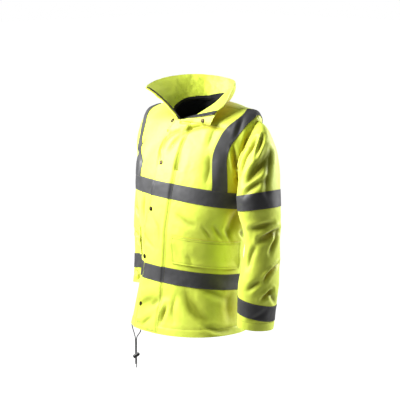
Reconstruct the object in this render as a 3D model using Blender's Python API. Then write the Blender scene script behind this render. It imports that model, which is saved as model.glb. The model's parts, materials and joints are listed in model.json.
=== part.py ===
"""Hi-vis work jacket in its worn, hollow form, unzipped at the neck with the collar laid open.

Metres, +Z up. The front faces -Y and the wearer's left is +X. The origin is at the base of the
neck, midway between the shoulders, where the wearer's shoulders carry the jacket.

The body is one surface, body_point(theta, ring): theta is the angle round the wearer in degrees,
0 at the front centre and 90 at the wearer's left side, and ring runs through the RINGS table from
the hem to the neck. Each panel is a grid on that surface, and what lies on a panel uses the
panel's own grid points, moved out along the same normals.
"""

import math
from collections import namedtuple

import bmesh
import bpy
import numpy as np
from mathutils import Matrix, Vector

MM = 0.001

# Driving dimensions
SHELL = 3.0 * MM  # padded cloth of the panels and sleeves
COLLAR_WALL = 4.0 * MM
COLLAR_CLEAR = 0.7 * MM  # from the neckline to the collar
FOLD_CLEAR = 2.4 * MM  # between the collar and the flap's turned-out end, under the zip's tape
TAPE = 1.0 * MM
FLAP_WALL = 2.2 * MM
ON_PANEL = 0.4 * MM  # clear space under a piece that lies on a panel
SEAM = 0.3 * MM  # clear space between two pieces at a seam
CAP_SEAM = 0.8 * MM  # the same where the sleeve's cap turns off the panel's edge
SNAP_RADIUS = 7.0 * MM
SNAP_HEIGHT = 3.0 * MM
ZIP_TAPE = (6.0 * MM, 9.0 * MM)  # how far the open zip's tape stands out past its edge and in
CORD_DIAMETER = 3.2 * MM
CORD_CLEAR = 0.8 * MM
TOGGLE_LENGTH = 22.0 * MM
TOGGLE_RADIUS = 6.0 * MM

# The body's sections, from the hem up: height, half width, half depths, middle, and how far the
# front, back and left rise over the middle, in metres; turn is in degrees, square is the exponent
# of the superellipse.
Ring = namedtuple("Ring", "z wide front back x y front_rise back_rise left_rise turn square")
RINGS = [
    Ring(-0.724, 0.202, 0.170, 0.166, 0.000, -0.065, 0.003, -0.008, 0.002, -1, 2.2),  # hem
    Ring(-0.578, 0.178, 0.153, 0.152, 0.000, -0.048, 0.020, -0.020, -0.003, -2, 2.2),  # waist tape
    Ring(-0.528, 0.176, 0.151, 0.150, 0.000, -0.047, 0.021, -0.021, -0.003, -2, 2.2),  # its top
    Ring(-0.418, 0.188, 0.151, 0.149, 0.000, -0.048, 0.020, -0.020, -0.006, -2, 2.2),  # pocket
    Ring(-0.366, 0.201, 0.150, 0.148, 0.000, -0.045, 0.019, -0.019, -0.011, -1, 2.2),  # ribs
    Ring(-0.302, 0.217, 0.147, 0.145, 0.000, -0.042, 0.018, -0.018, -0.014, 2, 2.2),  # chest tape
    Ring(-0.252, 0.221, 0.144, 0.143, 0.000, -0.039, 0.017, -0.017, -0.014, 3, 2.2),  # its top
    Ring(-0.180, 0.225, 0.134, 0.136, 0.000, -0.032, 0.008, -0.010, -0.010, 4, 2.2),  # upper chest
    Ring(-0.112, 0.234, 0.118, 0.122, 0.002, -0.022, -0.008, 0.000, -0.003, 4, 2.2),  # yoke
    Ring(-0.051, 0.238, 0.104, 0.106, 0.004, -0.010, -0.022, 0.004, 0.001, 4, 2.1),  # shoulder
    Ring(-0.019, 0.230, 0.101, 0.098, 0.005, -0.007, -0.038, 0.006, 0.002, 4, 2.0),  # shoulder tip
    Ring(-0.007, 0.192, 0.100, 0.092, 0.005, -0.006, -0.042, 0.006, 0.005, 3, 2.0),  # slope
    Ring(-0.003, 0.140, 0.099, 0.090, 0.003, -0.005, -0.043, 0.006, 0.002, 2, 2.0),  # slope
    Ring(0.003, 0.088, 0.098, 0.088, 0.000, -0.005, -0.044, 0.004, 0.000, 0, 2.0),  # neckline
]

# Rows of the panels, from the hem up: the ring, the steps to the next row, and the angles of the
# lines down the left front and down the right front. A pair (angle, ring) is where a line leaves
# the row's own ring on its way over the shoulder. The flap's line is its stitching on the left
# front and its free edge on the right front: it is worn a little round to the right lower down.
FRONT_LINES = ("centre", "flap", "pocket", "neck", "brace_in", "brace_out", "side", "edge")
Row = namedtuple("Row", "ring steps left right", defaults=[None])
OVER_SHOULDER = ((90, 11.0), (90, 9.96), (90, 9.54), (90, 9.4))
FRONT_ROWS = [
    Row(0.0, 5, (0, 8, 19, 31, 44, 61, 104, 110), (0, 24, 33, 38, 44, 61, 104, 110)),  # hem
    Row(1.0, 2, (0, 8, 19, 31, 44, 61, 104, 110), (0, 24, 33, 38, 44, 61, 104, 110)),  # waist tape
    Row(2.0, 1, (0, 9.5, 18.5, 31, 44, 61, 104, 110), (0, 23, 33, 38, 44, 61, 104, 110)),  # its top
    Row(2.2, 3, (0, 10, 18.2, 31, 44, 61, 104, 110), (0, 22.5, 33, 38, 44, 61, 104, 110)),  # pocket
    Row(3.0, 2, (0, 11, 17, 31, 45, 62, 104, 110), (0, 18, 33, 38, 44, 61, 104, 110)),  # its seam
    Row(4.0, 2, (0, 10.5, 18, 32, 46, 63, 103, 109), (0, 13.5, 28, 34, 40, 57, 103, 109)),  # ribs
    Row(5.0, 2, (0, 9.5, 19, 33, 47.5, 65, 101, 107), (0, 10.5, 23, 29, 34, 51, 101, 107)),  # chest tape
    Row(6.0, 1, (0, 10, 20, 33, 48, 65.5, 96, 104), (0, 8.5, 20, 26, 31, 48, 96, 104)),  # its top
    Row(6.25, 1, (0, 10, 20, 33, 47.5, 64.5, 90, 101), (0, 8.5, 20, 26, 32, 49, 90, 101)),  # armpit
    Row(6.5, 1, (0, 10, 20.5, 33, 46, 63, 74, 78), (0, 8.5, 20.5, 27, 33.5, 50.5, 74, 78)),
    Row(7.0, 3, (0, 9, 21, 31, 43, 59.5, 66.5, 69), (0, 9, 22, 30, 37, 54, 66.5, 69)),
    Row(8.0, 3, (0, 8, 22, 30, 39, 55, 70, 73), (0, 11, 23, 33, 46, 62, 70, 73)),
    Row(
        9.3,
        2,
        (0, 10, 24, 38, (50, 9.7), (71, 9.35), (79, 9.2), (83, 9.1)),
        (0, 10, 24, 40, (53, 9.6), (72, 9.35), (79, 9.2), (83, 9.1)),
    ),
    Row(13.0, 0, (0, 14, 45, 90, *OVER_SHOULDER), (0, 5, 45, 90, *OVER_SHOULDER)),  # neckline
]
FRONT_STEPS = (2, 2, 2, 3, 2, 3, 1)  # columns between the lines
BACK_LINES = ("edge", "brace_out", "brace_in", "neck", "centre")
BACK_ROWS = [
    Row(0.0, 5, (110, 121, 137, 150, 180)),
    Row(1.0, 2, (110, 121, 137, 150, 180)),
    Row(2.0, 1, (110, 121, 137, 150, 180)),
    Row(2.2, 3, (110, 121, 137, 150, 180)),
    Row(3.0, 2, (110, 121, 137, 150, 180)),
    Row(4.0, 2, (109, 121, 137, 150, 180)),
    Row(5.0, 2, (107, 120, 136, 150, 180)),
    Row(6.0, 1, (104, 120, 136, 150, 180)),
    Row(6.25, 1, (101, 120, 136, 150, 180)),
    Row(6.5, 1, (112, 120, 136, 150, 180)),
    Row(7.0, 3, (111, 119, 135, 150, 180)),
    Row(8.0, 3, (107, 115, 132, 149, 180)),
    Row(9.3, 2, ((97, 9.1), (107, 9.4), (122, 9.55), 138, 180)),
    Row(13.0, 0, ((90, 9.4), (90, 9.96), (90, 11.0), 90, 180)),
]
BACK_STEPS = (4, 2, 3, 4)

Fold = namedtuple("Fold", "theta0 ring0 theta1 ring1 width depth")
BODY_FOLDS = [
    Fold(30, 0.8, 85, 0.45, 0.030, 0.007),
    Fold(12, 0.7, 40, 0.15, 0.028, 0.004),
    Fold(70, 3.6, 40, 3.2, 0.022, 0.004),
    Fold(85, 4.4, 60, 3.9, 0.022, 0.005),
    Fold(-10, 8.8, -26, 7.2, 0.016, 0.004),
    Fold(-60, 0.8, -95, 0.4, 0.030, 0.006),
    Fold(-85, 4.4, -60, 3.8, 0.022, 0.005),
    Fold(150, 4.2, 115, 3.4, 0.028, 0.007),
    Fold(-150, 4.4, -118, 3.5, 0.028, 0.006),
    Fold(165, 3.0, 120, 2.4, 0.026, 0.005),
    Fold(160, 0.8, 110, 0.4, 0.030, 0.007),
    Fold(-165, 0.7, -120, 0.35, 0.030, 0.006),
    Fold(140, 7.4, 112, 6.3, 0.024, 0.006),
    Fold(-140, 7.4, -112, 6.3, 0.024, 0.006),
]

# The sleeves below the armhole: middle, half sizes across and front to back, and how many degrees
# the outer side and the front of the section are tipped up.
Section = namedtuple("Section", "x y z across deep outer_up front_up")
SLEEVES = {
    "left": [
        Section(0.286, -0.032, -0.212, 0.074, 0.080, 42, 0),
        Section(0.294, -0.042, -0.252, 0.064, 0.078, 12, 0),  # upper tape
        Section(0.297, -0.042, -0.302, 0.062, 0.076, 9, 0),
        Section(0.298, -0.033, -0.385, 0.054, 0.066, 0, 0),
        Section(0.299, -0.030, -0.460, 0.054, 0.065, 0, 4),
        Section(0.296, -0.042, -0.545, 0.060, 0.071, -5, 8),
        Section(0.290, -0.042, -0.597, 0.057, 0.069, -12, 9),  # lower tape
        Section(0.287, -0.044, -0.647, 0.055, 0.067, -12, 9),
        Section(0.285, -0.045, -0.684, 0.052, 0.064, -5, 4),  # cuff
    ],
    "right": [
        Section(-0.274, 0.044, -0.200, 0.070, 0.080, 42, 0),
        Section(-0.277, 0.054, -0.240, 0.062, 0.078, 12, 0),
        Section(-0.285, 0.054, -0.290, 0.060, 0.075, 9, 0),
        Section(-0.295, 0.037, -0.374, 0.054, 0.066, 0, 0),
        Section(-0.288, 0.030, -0.436, 0.054, 0.065, 0, 6),
        Section(-0.277, 0.031, -0.500, 0.060, 0.071, -4, 10),
        Section(-0.273, 0.025, -0.542, 0.057, 0.069, -6, 12),
        Section(-0.271, 0.018, -0.590, 0.055, 0.067, -6, 12),
        Section(-0.271, 0.008, -0.636, 0.052, 0.064, -5, 8),
    ],
}
# Folds of the sleeves, by how far round from the side next to the body, and by the grid's row.
SLEEVE_FOLDS = {
    "left": [
        Fold(168, 1.6, 104, 3.3, 0.026, 0.007),
        Fold(205, 2.2, 196, 5.2, 0.022, 0.004),
        Fold(176, 8.6, 108, 9.3, 0.025, 0.006),
        Fold(60, 8.4, 20, 10.6, 0.026, 0.006),
        Fold(214, 12.0, 150, 13.9, 0.024, 0.006),
        Fold(300, 8.6, 250, 10.2, 0.026, 0.006),
        Fold(320, 12.2, 265, 13.6, 0.024, 0.005),
        Fold(300, 2.0, 262, 3.6, 0.026, 0.006),
    ],
    "right": [
        Fold(170, 1.8, 112, 3.4, 0.026, 0.006),
        Fold(70, 8.8, 20, 10.4, 0.026, 0.006),
        Fold(180, 8.4, 120, 9.6, 0.025, 0.006),
        Fold(210, 12.0, 150, 13.6, 0.024, 0.006),
        Fold(310, 8.8, 255, 10.0, 0.026, 0.007),
        Fold(305, 12.4, 262, 13.8, 0.024, 0.005),
        Fold(296, 2.0, 258, 3.6, 0.026, 0.007),
    ],
}
SLEEVE_ROUND = 0.062  # mean radius of a sleeve, for distances round it
CAP_OUT = {"left": (0.105, 0.0, 0.03), "right": (-0.072, 0.022, 0.03)}  # the cap's way out
SLEEVE_STEPS = (1, 2, 3, 2, 3, 2, 2, 1)
CAP_STEPS = 3  # rows of the sleeve's cap, between the armhole and the first section
UPPER_TAPE, LOWER_TAPE = 1, 6  # sections that a sleeve tape starts from

# The collar's sections: angle round the neckline from the right front edge (0) over the back
# (180) to the left front (360), the plan direction it leans to (degrees from the front centre
# towards the wearer's left), its lean from upright at the seam and at the top edge, and its
# height.
Stand = namedtuple("Stand", "around heading lean0 lean1 height")
COLLAR = [
    Stand(0, -69, 50, 50, 0.152),
    Stand(35, -72, 40, 46, 0.126),
    Stand(90, -95, 22, 36, 0.092),
    Stand(140, -140, 10, 32, 0.082),
    Stand(180, -180, 4, 34, 0.077),
    Stand(220, -218, 2, 37, 0.073),
    Stand(270, -250, 8, 62, 0.075),
    Stand(315, -256, 46, 86, 0.105),
    Stand(346, -262, 74, 78, 0.130),
    Stand(360, -265, 94, 95, 0.130),
]
COLLAR_ROWS = 6
END_ROWS = 8  # of the flap's turned-out end, along its length
END_START = 0.060  # how far to the wearer's left it starts to have some width
END_BULGE = 1.7 * MM

SNAP_CLEAR = 0.7 * MM
SNAP_PROFILE = [  # radius and height
    (SNAP_RADIUS * 0.95, 0.0),
    (SNAP_RADIUS, SNAP_HEIGHT * 0.2),
    (SNAP_RADIUS * 0.95, SNAP_HEIGHT * 0.5),
    (SNAP_RADIUS * 0.70, SNAP_HEIGHT * 0.85),
    (SNAP_RADIUS * 0.30, SNAP_HEIGHT),
]
FLAP_SNAPS = ((0.55, 0.38), (2.22, 0.34), (4.30, 0.60), (6.90, 0.93))  # ring and column, from the hem
END_SNAP = (4.1, 2.6)  # row and column on the flap's turned-out end
NECK_SNAP = (27.0, 12.5)  # row and column on the right front

# The ends of the drawcord that hang out of the hem. Beside is which side of the other it hangs.
Exit = namedtuple("Exit", "name theta beside length")
CORD_EXITS = [Exit("outer", -38, -1, 0.126), Exit("inner", -13, 1, 0.139)]
CORD_DROPS = [  # drop below the hem, and the share of the way that is still the exit's own
    (0.0, 1.0),
    (0.004, 0.98),
    (0.010, 0.86),
    (0.017, 0.64),
    (0.024, 0.40),
    (0.031, 0.18),
    (0.038, 0.04),
    (0.045, 0.0),
    (0.070, 0.0),
    (0.100, 0.0),
    (0.118, 0.0),
]
CORD_SIDE = (0.695, 0.719, 0.0)  # direction from one end of the cord to the other
TOGGLE_DROP = 0.098

LIME = (0.66, 0.86, 0.05)
SILVER = (0.10, 0.10, 0.10)
BLACK = (0.01, 0.01, 0.01)
BRASS = (0.08, 0.06, 0.04)


def smooth_row(rows, at):
    """Values of a table of numbers at a fractional row, on a Catmull-Rom curve."""
    at = min(max(at, 0.0), len(rows) - 1.0)
    i = min(int(at), len(rows) - 2)
    f = at - i
    p0, p1, p2, p3 = (
        np.array(rows[min(max(k, 0), len(rows) - 1)], float) for k in (i - 1, i, i + 1, i + 2)
    )
    return 0.5 * (
        2 * p1
        + (p2 - p0) * f
        + (2 * p0 - 5 * p1 + 4 * p2 - p3) * f**2
        + (3 * p1 - p0 - 3 * p2 + p3) * f**3
    )


def bare_body(theta, ring):
    """The body's surface before folds."""
    r = Ring(*smooth_row(RINGS, ring))
    s, c = math.sin(math.radians(theta)), math.cos(math.radians(theta))
    power = 2 / r.square
    across = r.wide * math.copysign(abs(s) ** power, s)
    forward = (r.front if c > 0 else r.back) * math.copysign(abs(c) ** power, c)
    turn = math.radians(r.turn)
    rise = r.front_rise * (c + c * c) / 2 + r.back_rise * (c * c - c) / 2 + r.left_rise * s
    return np.array(
        [
            r.x + across * math.cos(turn) + forward * math.sin(turn),
            r.y + across * math.sin(turn) - forward * math.cos(turn),
            r.z + rise,
        ]
    )


def fold_depth(folds, theta, ring):
    """How far the folds press the surface in, each a soft trough between two points."""
    here = np.array([math.radians(theta) * 0.19, smooth_row(RINGS, ring)[0]])
    total = 0.0
    for fold in folds:
        a = np.array([math.radians(fold.theta0) * 0.19, smooth_row(RINGS, fold.ring0)[0]])
        b = np.array([math.radians(fold.theta1) * 0.19, smooth_row(RINGS, fold.ring1)[0]])
        along = np.clip(np.dot(here - a, b - a) / np.dot(b - a, b - a), 0, 1)
        away = np.linalg.norm(here - a - along * (b - a))
        total += fold.depth * math.exp(-((away / fold.width) ** 2))
    return total


def sleeve_fold_depth(folds, around, row, levels):
    """The same on a sleeve, whose rows lie at the given heights."""
    rows = range(len(levels))
    here = np.array([math.radians(around) * SLEEVE_ROUND, levels[row]])
    total = 0.0
    for fold in folds:
        a, b = (
            np.array([math.radians(turn) * SLEEVE_ROUND, np.interp(ring, rows, levels)])
            for turn, ring in ((fold.theta0, fold.ring0), (fold.theta1, fold.ring1))
        )
        along = np.clip(np.dot(here - a, b - a) / np.dot(b - a, b - a), 0, 1)
        away = np.linalg.norm(here - a - along * (b - a))
        total += fold.depth * math.exp(-((away / fold.width) ** 2))
    return total


def body_normal(theta, ring):
    step = 0.5
    ring = min(max(ring, 0.1), len(RINGS) - 1.1)
    across = bare_body(theta + step, ring) - bare_body(theta - step, ring)
    up = bare_body(theta, ring + 0.1) - bare_body(theta, ring - 0.1)
    n = np.cross(across, up)
    return n / np.linalg.norm(n)


class Grid:
    """Points and outward normals of a piece of surface, in rows and columns."""

    def __init__(self, points, normals):
        self.points = np.array(points)
        self.normals = np.array(normals)

    def part(self, rows, columns):
        return Grid(self.points[rows, columns], self.normals[rows, columns])

    def drawn_in(self, bottom=0.0, top=0.0, left=0.0, right=0.0):
        """The same grid with its edges moved towards their neighbours by the given amounts."""
        p = self.points.copy()
        for amount, edge, inner in (
            (bottom, (0, slice(None)), (1, slice(None))),
            (top, (-1, slice(None)), (-2, slice(None))),
            (left, (slice(None), 0), (slice(None), 1)),
            (right, (slice(None), -1), (slice(None), -2)),
        ):
            towards = self.points[inner] - self.points[edge]
            lengths = np.linalg.norm(towards, axis=-1, keepdims=True)
            p[edge] += amount * towards / np.maximum(lengths, 1e-9)
        return Grid(p, self.normals)


def joined(*grids):
    """Grids side by side."""
    return Grid(
        np.concatenate([grid.points for grid in grids], axis=1),
        np.concatenate([grid.normals for grid in grids], axis=1),
    )


def turned(grid):
    """The grid with its columns the other way round."""
    return Grid(grid.points[:, ::-1], grid.normals[:, ::-1])


def spread(values, steps):
    """Values between which the given numbers of even steps are filled in."""
    out = [values[0]]
    for a, b, n in zip(values, values[1:], steps):
        out += [a + (b - a) * (k + 1) / n for k in range(n)]
    return out


def lines_of(row, side):
    """The angles and rings of a row's lines. Side is 1 for the left, -1 for the right."""
    lines = row.left if side > 0 or row.right is None else row.right
    return [line if isinstance(line, tuple) else (line, row.ring) for line in lines]


def panel(rows, column_steps, side):
    """A panel's grid. Side is 1 for the wearer's left and -1 for the right."""
    table = []
    for row in rows:
        pairs = [np.array(pair, float) for pair in lines_of(row, side)]
        table.append(np.array(spread(pairs, column_steps)).ravel())
    marks = spread(list(range(len(rows))), [row.steps for row in rows[:-1]])
    points, normals = [], []
    for mark in marks:
        pairs = smooth_row(table, mark).reshape(-1, 2)
        row_points, row_normals = [], []
        for theta, ring in pairs:
            normal = body_normal(side * theta, ring)
            point = bare_body(side * theta, ring)
            row_points.append(point - normal * fold_depth(BODY_FOLDS, side * theta, ring))
            row_normals.append(normal)
        points.append(row_points)
        normals.append(row_normals)
    return Grid(points, normals)


def column_of(lines, steps, name):
    return sum(steps[: lines.index(name)])


def front_columns(word, first, last):
    """The columns of a front panel from one line to another. The left front's grid runs from the
    front centre to its side edge, and the right front's from its side edge to the centre."""
    a, b = (column_of(FRONT_LINES, FRONT_STEPS, name) for name in (first, last))
    if word == "left":
        return slice(a, b + 1)
    end = sum(FRONT_STEPS)
    return slice(end - b, end - a + 1)


def row_of(rows, ring):
    """The grid row at the named table row."""
    index = [row.ring for row in rows].index(ring)
    return sum(row.steps for row in rows[:index])


def new_object(name, mesh_builder, material):
    mesh = bpy.data.meshes.new(name)
    bm = bmesh.new()
    mesh_builder(bm)
    bm.to_mesh(mesh)
    bm.free()
    obj = bpy.data.objects.new(name, mesh)
    COLLECTION.objects.link(obj)
    mesh.materials.append(material)
    mesh.shade_smooth()
    mesh.set_sharp_from_angle(angle=math.radians(40))
    return obj


def wall(name, grid, low, high, material, closed=False):
    """A closed wall between two lifts off a grid's surface. A lift is one number, or one for each
    column. A closed grid's last column meets its first."""
    rows, columns = grid.points.shape[:2]
    lifts = [np.broadcast_to(np.asarray(lift, float), (rows, columns)) for lift in (low, high)]
    sides = [grid.points + grid.normals * lift[..., None] for lift in lifts]

    def build(bm):
        inner, outer = ([[bm.verts.new(p) for p in row] for row in side] for side in sides)
        around = columns if closed else columns - 1

        def skin(a, b, c, d):
            bm.faces.new((a, b, c))
            bm.faces.new((a, c, d))

        for j in range(rows - 1):
            for i in range(around):
                k = (i + 1) % columns
                skin(outer[j][i], outer[j][k], outer[j + 1][k], outer[j + 1][i])
                skin(inner[j][i], inner[j + 1][i], inner[j + 1][k], inner[j][k])
        for i in range(around):
            k = (i + 1) % columns
            skin(inner[0][i], inner[0][k], outer[0][k], outer[0][i])
            skin(outer[-1][i], outer[-1][k], inner[-1][k], inner[-1][i])
        if not closed:
            for j in range(rows - 1):
                skin(outer[j][0], outer[j + 1][0], inner[j + 1][0], inner[j][0])
                skin(inner[j][-1], inner[j + 1][-1], outer[j + 1][-1], outer[j][-1])
        bmesh.ops.recalc_face_normals(bm, faces=bm.faces)

    return new_object(name, build, material)


def finish_material(name, colour, roughness, metallic=0.0):
    material = bpy.data.materials.new(name)
    material.use_nodes = True
    shader = material.node_tree.nodes["Principled BSDF"]
    shader.inputs["Base Color"].default_value = (*colour, 1.0)
    shader.inputs["Roughness"].default_value = roughness
    shader.inputs["Metallic"].default_value = metallic
    return material


for old in list(bpy.data.objects):
    bpy.data.objects.remove(old)
COLLECTION = bpy.data.collections.new("hi_vis_work_jacket")
bpy.context.scene.collection.children.link(COLLECTION)
CLOTH = finish_material("fluorescent_cloth", LIME, 0.8)
REFLECTIVE = finish_material("reflective_tape", SILVER, 0.5)
ZIP = finish_material("black_zip", BLACK, 0.6)
METAL = finish_material("antique_brass", BRASS, 0.35, 1.0)
CORD = finish_material("black_cord", BLACK, 0.7)

HALF_SEAM = SEAM / 2
LAST = slice(None)


def body_panels():
    """The two fronts and the back, their tapes and the grids that other pieces use."""
    grids = {}
    for side, word in ((1, "left"), (-1, "right")):
        front = panel(FRONT_ROWS, FRONT_STEPS, side)
        grids[word] = front if side > 0 else turned(front)
        inset = grids[word].drawn_in(left=HALF_SEAM, right=HALF_SEAM, top=HALF_SEAM)
        wall("front_" + word, inset, -SHELL, 0, CLOTH)
    left, right = (panel(BACK_ROWS, BACK_STEPS, side) for side in (1, -1))
    grids["back"] = joined(left, turned(right).part(LAST, slice(1, None)))
    inset = grids["back"].drawn_in(left=HALF_SEAM, right=HALF_SEAM, top=HALF_SEAM)
    wall("back", inset, -SHELL, 0, CLOTH)
    return grids


def facing_normals(points, closed):
    """Normals of a grid of points, by the differences along its rows and columns."""
    if closed:
        across = np.roll(points, -1, axis=1) - np.roll(points, 1, axis=1)
    else:
        across = np.gradient(points, axis=1)
    normals = np.cross(across, np.gradient(points, axis=0))
    return normals / np.linalg.norm(normals, axis=-1, keepdims=True)


def sleeve_grid(front, back, word, side):
    """The sleeve's grid: its first row is the armhole, then it follows the sections."""
    first = row_of(FRONT_ROWS, 6.25)
    ahead, behind = (-1, 0) if side > 0 else (0, -1)
    rising = [(front, j, ahead) for j in range(first, front.points.shape[0])]
    falling = [(back, j, behind) for j in range(back.points.shape[0] - 2, first, -1)]
    loop = rising + falling
    armhole = np.array([grid.points[j, i] for grid, j, i in loop])
    seam_normals = np.array([grid.normals[j, i] for grid, j, i in loop])

    table = [tuple(section) for section in SLEEVES[word]]
    rings = []
    for mark in spread(list(range(len(table))), SLEEVE_STEPS):
        s = Section(*smooth_row(table, mark))
        outer, fore = math.radians(s.outer_up), math.radians(s.front_up)
        out_axis = np.array([side * math.cos(outer), 0, math.sin(outer)])
        front_axis = np.array([0, -math.cos(fore), math.sin(fore)])
        turns = [2 * math.pi * k / len(loop) for k in range(len(loop))]
        rings.append(
            [
                np.array([s.x, s.y, s.z])
                - out_axis * s.across * math.cos(turn)
                + front_axis * s.deep * math.sin(turn)
                for turn in turns
            ]
        )
    rings = np.array(rings)

    # The cap is a Hermite curve from each armhole point to the first section.
    leaving = np.array(CAP_OUT[word]) + 0.30 * (armhole - armhole.mean(axis=0))
    arriving = 1.6 * (rings[1] - rings[0]) * SLEEVE_STEPS[0] + np.array([0, 0, -0.03])
    cap = [armhole]
    for k in range(1, CAP_STEPS):
        f = k / CAP_STEPS
        cap.append(
            (2 * f**3 - 3 * f**2 + 1) * armhole
            + (f**3 - 2 * f**2 + f) * leaving
            + (3 * f**2 - 2 * f**3) * rings[0]
            + (f**3 - f**2) * arriving
        )
    points = np.concatenate([np.array(cap), rings])
    normals = facing_normals(points, closed=True) * -side
    levels = points[:, :, 2].mean(axis=1)
    for j in range(1, len(points)):
        for k in range(len(loop)):
            depth = sleeve_fold_depth(SLEEVE_FOLDS[word], 360 * k / len(loop), j, levels)
            points[j, k] -= normals[j, k] * depth * min(1.0, max(0, j - 2) / 2)
    normals = facing_normals(points, closed=True) * -side
    normals[0] = seam_normals + normals[1]
    normals[0] /= np.linalg.norm(normals[0], axis=-1, keepdims=True)
    return Grid(points, normals)


def sleeves(grids):
    for side, word in ((1, "left"), (-1, "right")):
        grid = sleeve_grid(grids[word], grids["back"], word, side)
        grids["sleeve_" + word] = grid
        wall("sleeve_" + word, grid.drawn_in(bottom=CAP_SEAM), -SHELL, 0, CLOTH, closed=True)
        for name, section in (("upper", UPPER_TAPE), ("lower", LOWER_TAPE)):
            start = CAP_STEPS + sum(SLEEVE_STEPS[:section])
            band = grid.part(slice(start, start + SLEEVE_STEPS[section] + 1), LAST)
            tape_wall(f"tape_sleeve_{word}_{name}", band, closed=True)


def tape_wall(name, grid, under=0.0, closed=False):
    low = np.asarray(under) + ON_PANEL
    return wall(name, grid, low, low + TAPE, REFLECTIVE, closed)


def body_tapes(grids):
    """Two horizontal tapes round the body and a brace tape over each shoulder."""
    for word in ("left", "right"):
        front = grids[word]
        covered = front_columns(word, "flap" if word == "left" else "centre", "edge")
        if word == "right":
            covered = slice(covered.start, covered.stop - 1)  # it stops at the zip
        for name, ring in (("waist", 1.0), ("chest", 5.0)):
            row = row_of(FRONT_ROWS, ring)
            band = front.part(slice(row, row + 3), covered)
            tape_wall(f"tape_{name}_{word}", band.drawn_in(left=SEAM, right=SEAM))
        over_shoulder = slice(row_of(FRONT_ROWS, 6.0), None)
        brace = front.part(over_shoulder, front_columns(word, "brace_in", "brace_out"))
        tape_wall(f"brace_front_{word}", brace.drawn_in(bottom=SEAM, top=HALF_SEAM))
    back = grids["back"]
    for name, ring in (("waist", 1.0), ("chest", 5.0)):
        row = row_of(BACK_ROWS, ring)
        band = back.part(slice(row, row + 3), LAST)
        tape_wall(f"tape_{name}_back", band.drawn_in(left=SEAM, right=SEAM))
    a = column_of(BACK_LINES, BACK_STEPS, "brace_out")
    b = column_of(BACK_LINES, BACK_STEPS, "brace_in")
    last = back.points.shape[1] - 1
    for word, columns in (("left", slice(a, b + 1)), ("right", slice(last - b, last - a + 1))):
        brace = back.part(slice(row_of(BACK_ROWS, 6.0), None), columns)
        tape_wall(f"brace_back_{word}", brace.drawn_in(bottom=SEAM, top=HALF_SEAM))


def storm_flap(grids):
    """The strip over the zip, the zip under it, and the lengths of tape that cross it."""
    flap = column_of(FRONT_LINES, FRONT_STEPS, "flap")
    over = joined(
        grids["right"].part(LAST, front_columns("right", "centre", "flap")),
        grids["left"].part(LAST, slice(1, flap + 1)),
    )
    columns = over.points.shape[1]
    zip_lift = ON_PANEL + TAPE
    lift = np.full(columns, zip_lift + ON_PANEL)
    lift[-1] = ON_PANEL
    strip = over.part(slice(0, -1), LAST)
    wall("storm_flap", strip.drawn_in(right=HALF_SEAM), lift, lift + FLAP_WALL, CLOTH)
    for name, ring in (("waist", 1.0), ("chest", 5.0)):
        row = row_of(FRONT_ROWS, ring)
        band = over.part(slice(row, row + 3), LAST)
        tape_wall(f"tape_{name}_flap", band.drawn_in(right=HALF_SEAM), lift + FLAP_WALL)
    middle = over.part(slice(0, -2), slice(flap - 1, flap + 2))
    wall("zip", middle.drawn_in(bottom=8 * MM, left=SEAM, right=SEAM), ON_PANEL, ON_PANEL + TAPE, ZIP)
    grids["flap"] = Grid(strip.points + strip.normals * (lift + FLAP_WALL)[:, None], strip.normals)


def pocket_flaps(grids):
    rows = slice(row_of(FRONT_ROWS, 2.2), row_of(FRONT_ROWS, 3.0) + 1)
    for word in ("left", "right"):
        grid = grids[word].part(rows, front_columns(word, "pocket", "side"))
        wall(f"pocket_flap_{word}", grid, ON_PANEL, ON_PANEL + FLAP_WALL, CLOTH)


def neckline(grids):
    """The neckline's points, normals and angles, from the right front edge round the back."""
    neck = column_of(FRONT_LINES, FRONT_STEPS, "neck")
    back_neck = column_of(BACK_LINES, BACK_STEPS, "neck")
    last = grids["back"].points.shape[1] - 1
    end = sum(FRONT_STEPS)
    points, normals, angles = [], [], []
    for word, columns in (
        ("right", range(end, end - neck - 1, -1)),
        ("back", range(last - back_neck - 1, back_neck, -1)),
        ("left", range(neck, -1, -1)),
    ):
        grid = grids[word]
        for i in columns:
            points.append(grid.points[-1, i])
            normals.append(grid.normals[-1, i])
            p = grid.points[-1, i]
            angles.append(math.degrees(math.atan2(-p[0], -(p[1] - RINGS[-1].y))) % 360)
    angles[0], angles[-1] = 0.0, 360.0
    return np.array(points), np.array(normals), angles


def stand_at(angle):
    keys = [s.around for s in COLLAR]
    at = float(np.interp(angle, keys, range(len(keys))))
    return Stand(*smooth_row([tuple(s) for s in COLLAR], at))


def stand_step(stand, k):
    """The collar's step from one of its rows to the next."""
    lean = math.radians(stand.lean0 + (stand.lean1 - stand.lean0) * (k + 0.5) / COLLAR_ROWS)
    heading = math.radians(stand.heading)
    out = np.array([math.sin(heading), -math.cos(heading), 0]) * math.sin(lean)
    return (out + np.array([0, 0, math.cos(lean)])) * stand.height / COLLAR_ROWS


def turned_end(upper, lower):
    """The flap's turned-out end between its upper and lower edges, from where it has some width."""
    rows = []
    for share in np.linspace(0, 1, END_ROWS + 1):
        corners = []
        for edge in (upper, lower):
            x = END_START + (edge[-1, 0] - END_START) * share
            corners.append([x, *(np.interp(x, edge[:, 0], edge[:, k]) for k in (1, 2))])
        above, below = np.array(corners)
        above += (below - above) * FOLD_CLEAR / np.linalg.norm(below - above)
        rows.append(
            [
                above + (below - above) * across - [0, END_BULGE * math.sin(math.pi * across), 0]
                for across in np.linspace(0, 1, 5)
            ]
        )
    points = np.array(rows)
    return Grid(points, -facing_normals(points, closed=False))


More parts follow.
